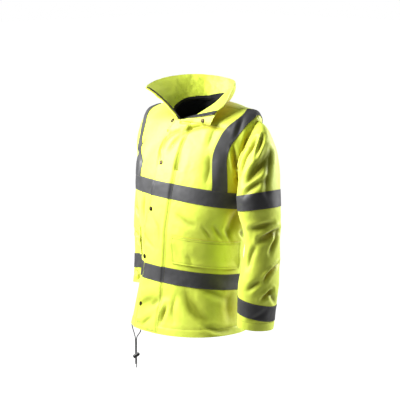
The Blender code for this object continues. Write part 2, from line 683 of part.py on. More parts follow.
def collar(grids):
    """The tall stand collar, the flap's turned-out end beyond it, and the open ends of the zip."""
    points, normals, angles = neckline(grids)
    half = COLLAR_WALL / 2
    along = np.gradient(points, axis=0)
    rows = [[]]
    for p, normal, tangent, angle in zip(points, normals, along, angles):
        facing = np.cross(tangent, stand_step(stand_at(angle), 0))
        lying = abs(np.dot(facing, normal)) / np.linalg.norm(facing)
        rows[0].append(p + normal * (COLLAR_CLEAR + half * lying))
    for k in range(COLLAR_ROWS):
        rows.append([p + stand_step(stand_at(angle), k) for p, angle in zip(rows[-1], angles)])
    sheet = np.array(rows)
    grid = Grid(sheet, -facing_normals(sheet, closed=False))
    split = len(angles) - 1 - column_of(FRONT_LINES, FRONT_STEPS, "flap")
    stand = grid.part(LAST, slice(0, split + 1))
    wall("collar", stand.drawn_in(left=2 * MM, right=FOLD_CLEAR / 2), -half, half, CLOTH)
    end = turned_end(grid.points[:, split], grid.points[:, -1])
    wall("flap_top", end, -FLAP_WALL / 2, FLAP_WALL / 2, CLOTH)
    grids["flap_top"] = end
    outward, inward = ZIP_TAPE
    for word, edge, inside in (("right", 0, 1), ("left", split, split - 1)):
        p, n = grid.points[:, edge], grid.normals[:, edge]
        towards = grid.points[:, inside] - p
        width = np.linalg.norm(towards, axis=-1, keepdims=True)
        share = np.minimum(inward, width) / width
        end_normals = n + (grid.normals[:, inside] - n) * share
        columns = [p - towards * outward / width, p, p + towards * share]
        strip = Grid(np.stack(columns, axis=1), np.stack([n, n, end_normals], axis=1))
        top = -half - ON_PANEL
        wall("zip_" + word, strip.drawn_in(bottom=4 * MM, top=2 * MM), top - TAPE, top, ZIP)


def disc(name, centre, axis, profile, material, sides=12):
    """A turned piece: the profile's pairs of radius and height along the axis, closed at both
    ends."""
    turn = Vector(axis).to_track_quat("Z", "Y").to_matrix()

    def build(bm):
        rings = []
        for radius, height in profile:
            ring = []
            for k in range(sides):
                a = 2 * math.pi * k / sides
                at = Vector((radius * math.cos(a), radius * math.sin(a), height))
                ring.append(bm.verts.new(Vector(centre) + turn @ at))
            rings.append(ring)
        for low, high in zip(rings, rings[1:]):
            for k in range(sides):
                m = (k + 1) % sides
                bm.faces.new((low[k], low[m], high[m], high[k]))
        bm.faces.new(rings[0][::-1])
        bm.faces.new(rings[-1])

    return new_object(name, build, material)


def snaps(grids):
    """Press studs: four on the storm flap, one on its turned-out end, one on the right front."""
    flap, end, right = grids["flap"], grids["flap_top"], grids["right"]
    marks = spread([row.ring for row in FRONT_ROWS], [row.steps for row in FRONT_ROWS[:-1]])
    places = [
        (f"snap_flap_{k + 1}", flap, float(np.interp(ring, marks, range(len(marks)))), column, 1, 0)
        for k, (ring, column) in enumerate(FLAP_SNAPS)
    ]
    half = FLAP_WALL / 2
    places.append(("snap_flap_top", end, *END_SNAP, -1, half))
    places.append(("snap_right_front", right, *NECK_SNAP, 1, SNAP_CLEAR / 2))
    for name, grid, row, column, side, lift in places:
        j, i = int(row), int(column)
        f, g = row - j, column - i
        weights = ((1 - f) * (1 - g), (1 - f) * g, f * (1 - g), f * g)
        corners = ((j, i), (j, i + 1), (j + 1, i), (j + 1, i + 1))
        point = sum(w * grid.points[c] for w, c in zip(weights, corners))
        across = grid.points[j + 1, i + 1] - grid.points[j, i]
        normal = np.cross(across, grid.points[j + 1, i] - grid.points[j, i + 1])
        normal *= side * math.copysign(1, np.dot(normal, grid.normals[j, i]))
        normal /= np.linalg.norm(normal)
        disc(name, point + normal * (lift + SNAP_CLEAR), normal, SNAP_PROFILE, METAL)


def tube(name, path, radius, material, sides=8):
    """A round cord along a path of points, with flat ends."""
    path = [Vector(p) for p in path]

    def build(bm):
        rings = []
        for k, p in enumerate(path):
            along = path[min(k + 1, len(path) - 1)] - path[max(k - 1, 0)]
            across = along.cross(Vector(CORD_SIDE)).normalized()
            other = across.cross(along).normalized()
            turns = [2 * math.pi * m / sides for m in range(sides)]
            rings.append(
                [bm.verts.new(p + (across * math.cos(t) + other * math.sin(t)) * radius) for t in turns]
            )
        for low, high in zip(rings, rings[1:]):
            for m in range(sides):
                n = (m + 1) % sides
                bm.faces.new((low[m], low[n], high[n], high[m]))
        bm.faces.new(rings[0][::-1])
        bm.faces.new(rings[-1])
        bmesh.ops.recalc_face_normals(bm, faces=bm.faces)

    return new_object(name, build, material)


def drawcord():
    """The two ends of the hem's drawcord, side by side through a barrel toggle."""
    middle = sum(bare_body(exit.theta, 0) for exit in CORD_EXITS) / 2
    side = Vector(CORD_SIDE)
    for exit in CORD_EXITS:
        start = bare_body(exit.theta, 0) - body_normal(exit.theta, 0) * SHELL / 2
        start[2] -= CORD_CLEAR
        beside = middle + np.array(side) * exit.beside * (CORD_DIAMETER / 2 + SEAM / 2)
        path = []
        for drop, share in CORD_DROPS:
            if drop < exit.length:
                at = start * share + beside * (1 - share)
                path.append((at[0], at[1], start[2] - drop))
        path.append((beside[0], beside[1], start[2] - exit.length))
        tube(f"drawcord_{exit.name}", path, CORD_DIAMETER / 2, CORD)
    half = TOGGLE_LENGTH / 2
    z = middle[2] - TOGGLE_DROP
    profile = [
        (TOGGLE_RADIUS * 0.7, -half),
        (TOGGLE_RADIUS, -half * 0.75),
        (TOGGLE_RADIUS, half * 0.75),
        (TOGGLE_RADIUS * 0.7, half),
    ]
    barrel = disc("toggle", (middle[0], middle[1], z), side, profile, CORD, sides=16)
    slot = bpy.data.meshes.new("toggle_slot")
    bm = bmesh.new()
    wide, deep, tall = 2 * CORD_DIAMETER + 3 * SEAM, CORD_DIAMETER + 2 * SEAM, 4 * TOGGLE_RADIUS
    turned = side.to_track_quat("X", "Z").to_matrix().to_4x4()
    placed = Matrix.Translation((middle[0], middle[1], z)) @ turned
    bmesh.ops.create_cube(bm, size=1, matrix=placed @ Matrix.Diagonal((wide, deep, tall, 1)))
    bm.to_mesh(slot)
    bm.free()
    cutter = bpy.data.objects.new("toggle_slot", slot)
    COLLECTION.objects.link(cutter)
    cut = barrel.modifiers.new("slot", "BOOLEAN")
    cut.object = cutter
    cut.solver = "EXACT"
    bpy.context.view_layer.update()
    graph = bpy.context.evaluated_depsgraph_get()
    pierced = bpy.data.meshes.new_from_object(barrel.evaluated_get(graph))
    barrel.modifiers.clear()
    barrel.data = pierced
    bpy.data.objects.remove(cutter)


grids = body_panels()
sleeves(grids)
body_tapes(grids)
storm_flap(grids)
pocket_flaps(grids)
collar(grids)
snaps(grids)
drawcord()
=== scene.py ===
import json
import math

import bmesh
import bpy
import numpy as np
from mathutils import Euler, Matrix, Vector, noise
from mathutils.bvhtree import BVHTree
from mathutils.kdtree import KDTree


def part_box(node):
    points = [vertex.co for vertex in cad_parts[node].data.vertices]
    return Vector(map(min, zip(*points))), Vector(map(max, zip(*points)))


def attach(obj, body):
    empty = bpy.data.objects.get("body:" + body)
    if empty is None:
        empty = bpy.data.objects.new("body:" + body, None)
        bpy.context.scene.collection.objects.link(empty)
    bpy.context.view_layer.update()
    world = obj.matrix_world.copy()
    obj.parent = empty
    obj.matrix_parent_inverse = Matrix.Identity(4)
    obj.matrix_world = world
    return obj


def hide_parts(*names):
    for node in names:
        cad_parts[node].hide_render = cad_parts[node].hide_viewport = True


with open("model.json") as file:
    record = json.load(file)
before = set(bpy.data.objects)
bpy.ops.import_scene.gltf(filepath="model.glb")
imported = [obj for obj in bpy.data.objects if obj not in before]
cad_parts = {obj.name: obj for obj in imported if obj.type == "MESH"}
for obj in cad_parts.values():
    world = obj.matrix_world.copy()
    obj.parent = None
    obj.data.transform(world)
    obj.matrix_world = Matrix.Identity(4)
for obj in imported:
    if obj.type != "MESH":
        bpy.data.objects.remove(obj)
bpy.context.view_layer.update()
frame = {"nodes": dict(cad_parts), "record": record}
MM = 0.001

# ---- Camera ------------------------------------------------------------------------------------
# A long lens at chest height, turned towards the wearer's left front. The creases further down
# are given as points of its square picture, 400 across, so its place comes first.
CAMERA_AT = Vector((3.5776, -3.4684, 0.5175))
CAMERA_AIM = Vector((0.03027, -0.04278, -0.30772))
CAMERA_LENS = 138.46
CAMERA_TURN = 46.0  # degrees round from the wearer's front
SENSOR = 36.0  # millimetres
PICTURE = 400


def put_in_scene(name, data):
    """A new object for a mesh, camera or lamp, linked to the scene."""
    made = bpy.data.objects.new(name, data)
    bpy.context.scene.collection.objects.link(made)
    return made


camera = put_in_scene("camera", bpy.data.cameras.new("camera"))
camera.data.lens = CAMERA_LENS
camera.data.sensor_width = SENSOR
camera.data.clip_start, camera.data.clip_end = 0.1, 60.0
camera.location = CAMERA_AT
camera.rotation_mode = "QUATERNION"
camera.rotation_quaternion = (CAMERA_AIM - CAMERA_AT).to_track_quat("-Z", "Y")
bpy.context.scene.camera = camera
bpy.context.scene.view_settings.view_transform = "Standard"

# ---- Drawcord and toggle -----------------------------------------------------------------------
# Two ends of one braided black polyester cord, 3.2 mm thick, that leave the hem's channel at two
# eyelets, meet, and hang through a moulded barrel toggle. Their ends are cut and melted.
CORD_DIAMETER = 3.2 * MM
CORD_SIDES = 24
CORD_STEP = 0.7 * MM
CUT_END = 0.15  # of the radius: how much of each rounded end is cut off flat
BRAID_STRANDS = 6
BRAID_LAY = 1.9 * CORD_DIAMETER  # in this length a strand goes half way round
BRAID_RELIEF = 0.06  # of the radius
ROUTE_STEP = 6 * MM  # between the points of a coarser route along each cord, which is made and then not used
CORDS = {  # length, and the route from its eyelet to its free end
    "drawcord_outer": (0.144, [
        (-0.1315, -0.1984, -0.7236), (-0.1308, -0.1987, -0.7276), (-0.1264, -0.2009, -0.7336),
        (-0.1183, -0.2048, -0.7406), (-0.1095, -0.2090, -0.7476), (-0.1015, -0.2129, -0.7546),
        (-0.0963, -0.2154, -0.7616), (-0.0949, -0.2161, -0.7686), (-0.0949, -0.2161, -0.7936),
        (-0.0949, -0.2161, -0.8236), (-0.0949, -0.2161, -0.8416), (-0.0949, -0.2161, -0.8496),
    ]),
    "drawcord_inner": (0.157, [
        (-0.0547, -0.2287, -0.7226), (-0.0554, -0.2284, -0.7266), (-0.0599, -0.2266, -0.7326),
        (-0.0682, -0.2232, -0.7396), (-0.0773, -0.2196, -0.7466), (-0.0856, -0.2163, -0.7536),
        (-0.0909, -0.2142, -0.7606), (-0.0924, -0.2136, -0.7676), (-0.0924, -0.2136, -0.7926),
        (-0.0924, -0.2136, -0.8226), (-0.0924, -0.2136, -0.8406), (-0.0924, -0.2136, -0.8616),
    ]),
}


def linear_colour(code):
    """A six-digit sRGB colour as the linear red, green, blue and alpha that a socket takes."""
    parts = [int(code[k : k + 2], 16) / 255 for k in (0, 2, 4)]
    return (*(p / 12.92 if p <= 0.04045 else ((p + 0.055) / 1.055) ** 2.4 for p in parts), 1.0)


def add_node(tree, kind, sockets, ramp=(), **settings):
    """Adds a shader node with its settings and its ramp's stops, and sets or links its inputs."""
    made = tree.nodes.new("ShaderNode" + kind)
    for name, value in settings.items():
        setattr(made, name, value)
    for k, (position, code) in enumerate(ramp):
        stop = made.color_ramp.elements[k]
        stop.position, stop.color = position, linear_colour(code)
    for name, value in sockets.items():
        if isinstance(value, bpy.types.NodeSocket):
            tree.links.new(value, made.inputs[name])
        else:
            made.inputs[name].default_value = value
    return made


def new_finish(name):
    """An empty node material, and its tree."""
    finish = bpy.data.materials.new(name)
    finish.use_nodes = True
    finish.node_tree.nodes.clear()
    return finish, finish.node_tree


def shade(tree, sockets):
    """Closes a finish: its one shader, with these sockets, and its output."""
    shader = add_node(tree, "BsdfPrincipled", sockets)
    add_node(tree, "OutputMaterial", {"Surface": shader.outputs["BSDF"]})


def smooth_route(points, step):
    """Points at even steps along the smooth curve through the given ones."""
    points = np.array(points)
    ends = np.vstack([2 * points[0] - points[1], points, 2 * points[-1] - points[-2]])
    fine = []
    for a, b, c, d in zip(ends, ends[1:], ends[2:], ends[3:]):
        for t in np.linspace(0, 1, 20, endpoint=False):
            line = 2 * b + (c - a) * t
            fine.append(0.5 * (line + (2 * a - 5 * b + 4 * c - d) * t**2 + (3 * b - a - 3 * c + d) * t**3))
    fine = np.array(fine + [points[-1]])
    along = np.concatenate([[0], np.cumsum(np.linalg.norm(np.diff(fine, axis=0), axis=1))])
    marks = np.linspace(0, along[-1], max(2, round(along[-1] / step) + 1))
    return np.stack([np.interp(marks, along, fine[:, k]) for k in range(3)], axis=1)


def braided_tube(name, route):
    """A round braid along the route, with its strands' low relief and melted, rounded ends."""
    tangents = np.gradient(route, axis=0)
    tangents /= np.linalg.norm(tangents, axis=1, keepdims=True)
    side = Vector((1, 0, 0)).cross(Vector(tangents[0])).normalized()
    points, faces, marks = [], [], []
    count = len(route)
    for k, (place, tangent) in enumerate(zip(route, tangents)):
        heading = Vector(tangent)
        side = (side - heading * side.dot(heading)).normalized()
        other = heading.cross(side)
        near_end = min(k, count - 1 - k) * CORD_STEP / (CORD_DIAMETER / 2)
        rounding = math.sqrt(max(0.0, 1 - max(0.0, 1 - near_end - CUT_END) ** 2))
        slant = k * CORD_STEP / BRAID_LAY * math.pi * BRAID_STRANDS
        for m in range(CORD_SIDES):
            turn = 2 * math.pi * m / CORD_SIDES
            relief = math.sin(BRAID_STRANDS * turn + slant) * math.sin(BRAID_STRANDS * turn - slant)
            radius = (CORD_DIAMETER / 2) * rounding * (1 - BRAID_RELIEF / 2 + BRAID_RELIEF * relief)
            points.append(Vector(place) + (side * math.cos(turn) + other * math.sin(turn)) * radius)
            marks.append((k * CORD_STEP, m / CORD_SIDES))
    for k in range(count - 1):
        for m in range(CORD_SIDES):
            n = (m + 1) % CORD_SIDES
            a, b = k * CORD_SIDES, (k + 1) * CORD_SIDES
            faces.append((a + m, a + n, b + n, b + m))
    faces.append(tuple(range(CORD_SIDES - 1, -1, -1)))
    faces.append(tuple(range((count - 1) * CORD_SIDES, count * CORD_SIDES)))
    mesh = bpy.data.meshes.new(name)
    mesh.from_pydata([tuple(p) for p in points], [], faces)
    shape = bmesh.new()
    shape.from_mesh(mesh)
    bmesh.ops.recalc_face_normals(shape, faces=shape.faces)
    uv = shape.loops.layers.uv.new("braid")
    for face in shape.faces:
        wraps = len({round(marks[v.index][1] * CORD_SIDES) for v in face.verts} & {0, CORD_SIDES - 1}) == 2
        for loop in face.loops:
            s, t = marks[loop.vert.index]
            loop[uv].uv = (s, t + 1 if wraps and t == 0 else t)
    shape.to_mesh(mesh)
    shape.free()
    mesh.shade_smooth()
    return put_in_scene(name, mesh)


# Braided polyester: dull black, each strand a little lighter on its crown.
cord_finish, tree = new_finish("braided_black_polyester")
braid = add_node(tree, "UVMap", {}, uv_map="braid")
strands = add_node(tree, "TexNoise", {"Vector": braid.outputs["UV"], "Scale": 900.0, "Detail": 3.0})
fibre = strands.outputs["Fac"]
tint = add_node(tree, "ValToRGB", {"Fac": fibre}, ramp=((0, "0c0c0d"), (1, "2a2a2c")))
bump = add_node(tree, "Bump", {"Height": fibre, "Strength": 0.4, "Distance": 0.0002})
shade(tree, {"Base Color": tint.outputs["Color"], "Roughness": 0.75, "Normal": bump.outputs["Normal"]})

TOGGLE_AT = Vector((-0.0936, -0.2149, -0.8200))
TOGGLE_HEADING = math.atan2(0.719, 0.695)
TOGGLE_TILT = math.radians(-33)
TOGGLE_BARREL = (6.0 * MM, 19.0 * MM, 0.0)  # radius, length, and how far it stands out at one end
TOGGLE_PLUNGER = (4.3 * MM, 21.5 * MM, 1.8 * MM)
TOGGLE_END = (1.1 * MM, 0.3 * MM, 0.6 * MM)  # its flat rim, the step inside it, and how deep that is
TOGGLE_ROUND = 0.9 * MM
TOGGLE_SLOT = (8.4 * MM, 4.4 * MM)  # the hole for the two cords, along and across the barrel


def select_only(made):
    """Makes one object the only one selected and active, as an edit by hand starts."""
    bpy.ops.object.select_all(action="DESELECT")
    made.select_set(True)
    bpy.context.view_layer.objects.active = made


def pick(made, parts, test):
    """In edit mode, selects only the faces or edges that pass the test."""
    bpy.ops.mesh.select_mode(type="FACE" if parts == "faces" else "EDGE")
    bpy.ops.mesh.select_all(action="DESELECT")
    edited = bmesh.from_edit_mesh(made.data)
    for part in getattr(edited, parts):
        if test(part):
            part.select_set(True)
    bmesh.update_edit_mesh(made.data)


def settle(made):
    """Puts a finished piece's place into its mesh, so that its object sits at the origin."""
    select_only(made)
    bpy.ops.object.transform_apply(location=True, rotation=True, scale=True)


def on_rim(edge, radius):
    """Whether an edge runs round the end of an upright cylinder."""
    a, b = (v.co for v in edge.verts)
    return abs(a.z - b.z) < 1e-5 and all(abs(Vector(p[:2]).length - radius) < 1e-5 for p in (a, b))


bpy.ops.object.select_all(action="DESELECT")
toggle_parts = []
for radius, length, slide in (TOGGLE_BARREL, TOGGLE_PLUNGER):
    bpy.ops.mesh.primitive_cylinder_add(vertices=48, radius=radius, depth=length, location=(0, 0, slide))
    barrel = bpy.context.object
    settle(barrel)
    bpy.ops.object.mode_set(mode="EDIT")
    pick(barrel, "faces", lambda face: abs(face.normal.z) > 0.9)
    bpy.ops.mesh.inset(thickness=TOGGLE_END[0])
    bpy.ops.mesh.inset(thickness=TOGGLE_END[1])
    if slide == 0.0:
        bpy.ops.mesh.extrude_region_shrink_fatten(TRANSFORM_OT_shrink_fatten={"value": TOGGLE_END[2]})
    pick(barrel, "edges", lambda edge: on_rim(edge, radius))
    bpy.ops.mesh.bevel(offset=TOGGLE_ROUND, segments=4, affect="EDGES")
    bpy.ops.object.mode_set(mode="OBJECT")
    toggle_parts.append(barrel)
bpy.ops.object.select_all(action="DESELECT")
for barrel in toggle_parts:
    barrel.select_set(True)
bpy.context.view_layer.objects.active = toggle_parts[0]
bpy.ops.object.join()
toggle = bpy.context.object
toggle.name = "barrel_toggle"
lying = Euler((0, math.pi / 2, 0)).to_matrix()
tilted = Matrix.Rotation(TOGGLE_HEADING, 3, "Z") @ Matrix.Rotation(TOGGLE_TILT, 3, "Y") @ lying
toggle.data.transform(Matrix.Translation(TOGGLE_AT) @ tilted.to_4x4())

# The cords run straight down through the tilted barrel, so the slot is cut upright.
bpy.ops.object.select_all(action="DESELECT")
bpy.ops.mesh.primitive_cylinder_add(vertices=32, radius=TOGGLE_SLOT[1] / 2, depth=40 * MM)
cutter = bpy.context.object
bpy.ops.object.mode_set(mode="EDIT")
for sign in (1, -1):
    pick(
        cutter,
        "faces",
        lambda face: abs(face.normal.z) < 0.5 and face.calc_center_median().x * sign > 0.2 * MM,
    )
    bpy.ops.transform.translate(value=(sign * (TOGGLE_SLOT[0] - TOGGLE_SLOT[1]) / 2, 0, 0))
bpy.ops.object.mode_set(mode="OBJECT")
cutter.data.transform(Matrix.Translation(TOGGLE_AT) @ Matrix.Rotation(TOGGLE_HEADING, 4, "Z"))
select_only(toggle)
cut = toggle.modifiers.new("slot", "BOOLEAN")
cut.object, cut.solver, cut.operation = cutter, "EXACT", "DIFFERENCE"
cut.use_self = True
bpy.ops.object.modifier_apply(modifier="slot")
bpy.data.objects.remove(cutter)
toggle.data.shade_smooth()
bpy.ops.object.shade_smooth_by_angle(angle=math.radians(35))


# Moulded plastic: near black, with the fine grain of a spark-eroded mould.
def moulded(name, colour, roughness, grains, relief):
    finish, tree = new_finish(name)
    place = add_node(tree, "TexCoord", {})
    grain = add_node(tree, "TexNoise", {"Vector": place.outputs["Object"], "Scale": grains, "Detail": 2.0})
    bump = add_node(tree, "Bump", {"Height": grain.outputs["Fac"], "Strength": relief, "Distance": 0.0001})
    shade(
        tree,
        {"Base Color": linear_colour(colour), "Roughness": roughness, "Normal": bump.outputs["Normal"]},
    )
    return finish


toggle.data.materials.clear()
toggle.data.materials.append(moulded("moulded_black_abs", "141415", 0.42, 2500.0, 0.15))
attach(toggle, "root")
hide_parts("toggle")

for node_name, (length, points) in CORDS.items():
    route = smooth_route(points, CORD_STEP)
    strand = braided_tube(node_name + "_braid", route)
    strand.data.materials.append(cord_finish)
    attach(strand, "root")
    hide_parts(node_name)
    [tuple(p) for p in smooth_route(points, ROUTE_STEP)]

# ---- Body panels, sleeves and collar -----------------------------------------------------------
# Fluorescent yellow polyester Oxford, coated on the back, over thin padding and a black lining.
# The pieces are joined with closed seams that are pressed to one side, so each seam lies in a dip.
TRUNK = (Vector((0.0, -0.045, 0.10)), Vector((0.0, -0.055, -0.75)))
ARM_LEFT = (Vector((0.235, -0.020, -0.11)), Vector((0.290, -0.045, -0.69)))
ARM_RIGHT = (Vector((-0.235, -0.005, -0.11)), Vector((-0.274, 0.010, -0.65)))
NECK = (Vector((0.0, 0.0, -0.15)), Vector((0.0, 0.0, 0.15)))
SPLIT_ANGLES = (50, 40, 60, 70, 30)  # degrees, tried in turn, that part a wall's skin from its rim
THICKEST = 8 * MM  # no wall is thicker
CORNER_REACH = 1.3 * MM  # a border point nearer than this to another piece's corner stays put
SEAM_DIP = (0.9 * MM, 3.2 * MM)  # depth and half width
PUCKER = (0.9 * MM, 14 * MM, 95)  # the same, beside a seam, and waves a metre
SWELLS = ((1.6, 11, (0, 0, 0)), (0.8, 27, (3, 7, 1)), (0.35, 70, (9, 2, 5)))  # mm, waves a metre, shift
COLLAR_WRINKLE = (1.1, 2.4)  # its own unevenness: how high and how fine beside the cloth's
ROUNDS = 3  # of subdivision
LONGEST_EDGE = {"sleeve_left": 5.2 * MM, "sleeve_right": 5.2 * MM, "collar": 3.0 * MM}

# piece: the line it goes round, its mean radius in metres, and the width, length and area of its
# flat cut, in metres, along the cloth as it hangs
SHELL = {
    "front_left": (TRUNK, 0.2, (0.353, 0.796, 0.229)),
    "front_right": (TRUNK, 0.2, (0.355, 0.797, 0.230)),
    "back": (TRUNK, 0.2, (0.541, 0.858, 0.355)),
    "sleeve_left": (ARM_LEFT, 0.065, (0.437, 0.660, 0.236)),
    "sleeve_right": (ARM_RIGHT, 0.065, (0.432, 0.625, 0.224)),
    "collar": (NECK, 0.09, (0.524, 0.119, 0.0503)),
}


def from_line(points, line):
    """The way from the nearest point of a line to each of the points."""
    start, end = (np.array(p) for p in line)
    along = end - start
    share = np.clip((points - start) @ along / (along @ along), -0.2, 1.2)
    return points - start - share[:, None] * along


def skin_of(node_name, line, name):
    """The outward skin of a cloth node as a mesh of quads, and the thickness of its wall."""
    shape = bmesh.new()
    shape.from_mesh(frame["nodes"][node_name].data)
    bmesh.ops.remove_doubles(shape, verts=shape.verts, dist=5e-6)
    half = len(shape.verts) // 2
    for angle in SPLIT_ANGLES:
        left, island = set(shape.faces), set()
        while left:
            found = {left.pop()}
            queue = list(found)
            while queue:
                for edge in queue.pop().edges:
                    if edge.calc_face_angle(math.pi) < math.radians(angle):
                        fresh = [f for f in edge.link_faces if f in left]
                        left.difference_update(fresh)
                        found.update(fresh)
                        queue.extend(fresh)
            if len(found) > len(island):
                island = found
        members = {v for face in island for v in face.verts}
        if len(members) == half:
            break
    tree_of_wall = BVHTree.FromBMesh(shape)
    facing = 0.0
    depths = []
    for face in island:
        middle = face.calc_center_median()
        out = from_line(np.array([middle]), line)[0]
        facing += face.calc_area() * np.dot(out / np.linalg.norm(out), face.normal)
        hit = tree_of_wall.ray_cast(middle - face.normal * 1e-5, -face.normal, THICKEST)
        if hit[0] is not None:
            depths.append(hit[3])
    keep = members if facing > 0 else set(shape.verts) - members
    drop = [face for face in shape.faces if not all(v in keep for v in face.verts)]
    bmesh.ops.delete(shape, geom=drop, context="FACES")
    bmesh.ops.delete(shape, geom=[v for v in shape.verts if not v.link_faces], context="VERTS")
    bmesh.ops.join_triangles(
        shape, faces=shape.faces, angle_face_threshold=math.pi, angle_shape_threshold=math.pi
    )
    mesh = bpy.data.meshes.new(name)
    shape.to_mesh(mesh)
    shape.free()
    return put_in_scene(name, mesh), float(np.median(depths))


def numbers_of(items, what, width=1, kind=float):
    """One property of all the vertices, edges or corners of a mesh, as an array."""
    flat = np.empty(len(items) * width, kind)
    items.foreach_get(what, flat)
    return flat.reshape(-1, width) if width > 1 else flat


def points_of(made):
    """A piece's vertices."""
    return numbers_of(made.data.vertices, "co", 3)


def normals_of(made):
    """A piece's vertex normals."""
    return numbers_of(made.data.vertex_normals, "vector", 3)


def put_points(made, points):
    """Moves a piece's vertices to the points."""
    made.data.vertices.foreach_set("co", points.ravel())
    made.data.update()


def open_edges(made):
    """The border's edges as pairs of vertices, and how many edges meet at each vertex."""
    uses = np.bincount(numbers_of(made.data.loops, "edge_index", kind=int), minlength=len(made.data.edges))
    ends = numbers_of(made.data.edges, "vertices", 2, int)
    return ends[uses == 1], np.bincount(ends.ravel(), minlength=len(made.data.vertices))


def border_of(made):
    """The indices of the vertices on open edges, and those that are corners of one face alone."""
    ends, valence = open_edges(made)
    border = np.unique(ends)
    return border, border[valence[border] == 2]


def beside_on_border(made):
    """For each vertex of the border, those next to it along the border."""
    beside = {}
    for a, b in open_edges(made)[0].tolist():
        beside.setdefault(a, []).append(b)
        beside.setdefault(b, []).append(a)
    return beside


def border_runs(made):
    """The border as runs of vertices in order, from corner to corner, or round a closed edge."""
    ends, valence = open_edges(made)
    beside = beside_on_border(made)
    left = {tuple(sorted(pair)) for pair in ends.tolist()}
    starts = [v for v in sorted(beside) if valence[v] == 2] + sorted(beside)
    runs = []
    for start in starts:
        for ahead in beside[start]:
            run = [start]
            here = ahead
            while tuple(sorted((run[-1], here))) in left:
                left.discard(tuple(sorted((run[-1], here))))
                run.append(here)
                if valence[here] == 2:
                    break
                here = next((v for v in beside[here] if tuple(sorted((here, v))) in left), here)
            if len(run) > 2:
                runs.append(np.array(run))
    return runs


def subdivide(made, rounds):
    """Catmull-Clark rounds that keep the corners of the border where they are, applied."""
    select_only(made)
    smoothing = made.modifiers.new("smoothing", "SUBSURF")
    smoothing.levels = smoothing.render_levels = rounds
    smoothing.boundary_smooth = "PRESERVE_CORNERS"
    smoothing.use_creases = True
    bpy.ops.object.modifier_apply(modifier="smoothing")
    made.data.shade_smooth()


def pin_corners(pieces):
    """Creases each border vertex at which another piece has a corner, so that both stay put."""
    corners = {name: points_of(made)[border_of(made)[1]] for name, made in pieces.items()}
    for name, made in pieces.items():
        border, own = border_of(made)
        places = points_of(made)
        others = np.vstack([c for other, c in corners.items() if other != name])
        crease = made.data.attributes.new("crease_vert", "FLOAT", "POINT")
        for index in border:
            if np.min(np.linalg.norm(others - places[index], axis=1)) < CORNER_REACH:
                crease.data[int(index)].value = 1.0
        for index in own:
            crease.data[int(index)].value = 1.0


def split_long(made, longest):
    """Cuts each edge of a fine mesh that is longer than this in two, across its strip of faces."""
    shape = bmesh.new()
    shape.from_mesh(made.data)
    edges = [edge for edge in shape.edges if edge.calc_length() > longest]
    bmesh.ops.subdivide_edges(shape, edges=edges, cuts=1, use_grid_fill=True)
    shape.to_mesh(made.data)
    shape.free()
    made.data.shade_smooth()


shell, wall_depth = {}, {}
for name, (line, _, _) in SHELL.items():
    shell[name], wall_depth[name] = skin_of(name, line, name + "_cloth")
pin_corners(shell)
for name, made in shell.items():
    subdivide(made, ROUNDS)
    if name in LONGEST_EDGE:
        split_long(made, LONGEST_EDGE[name])

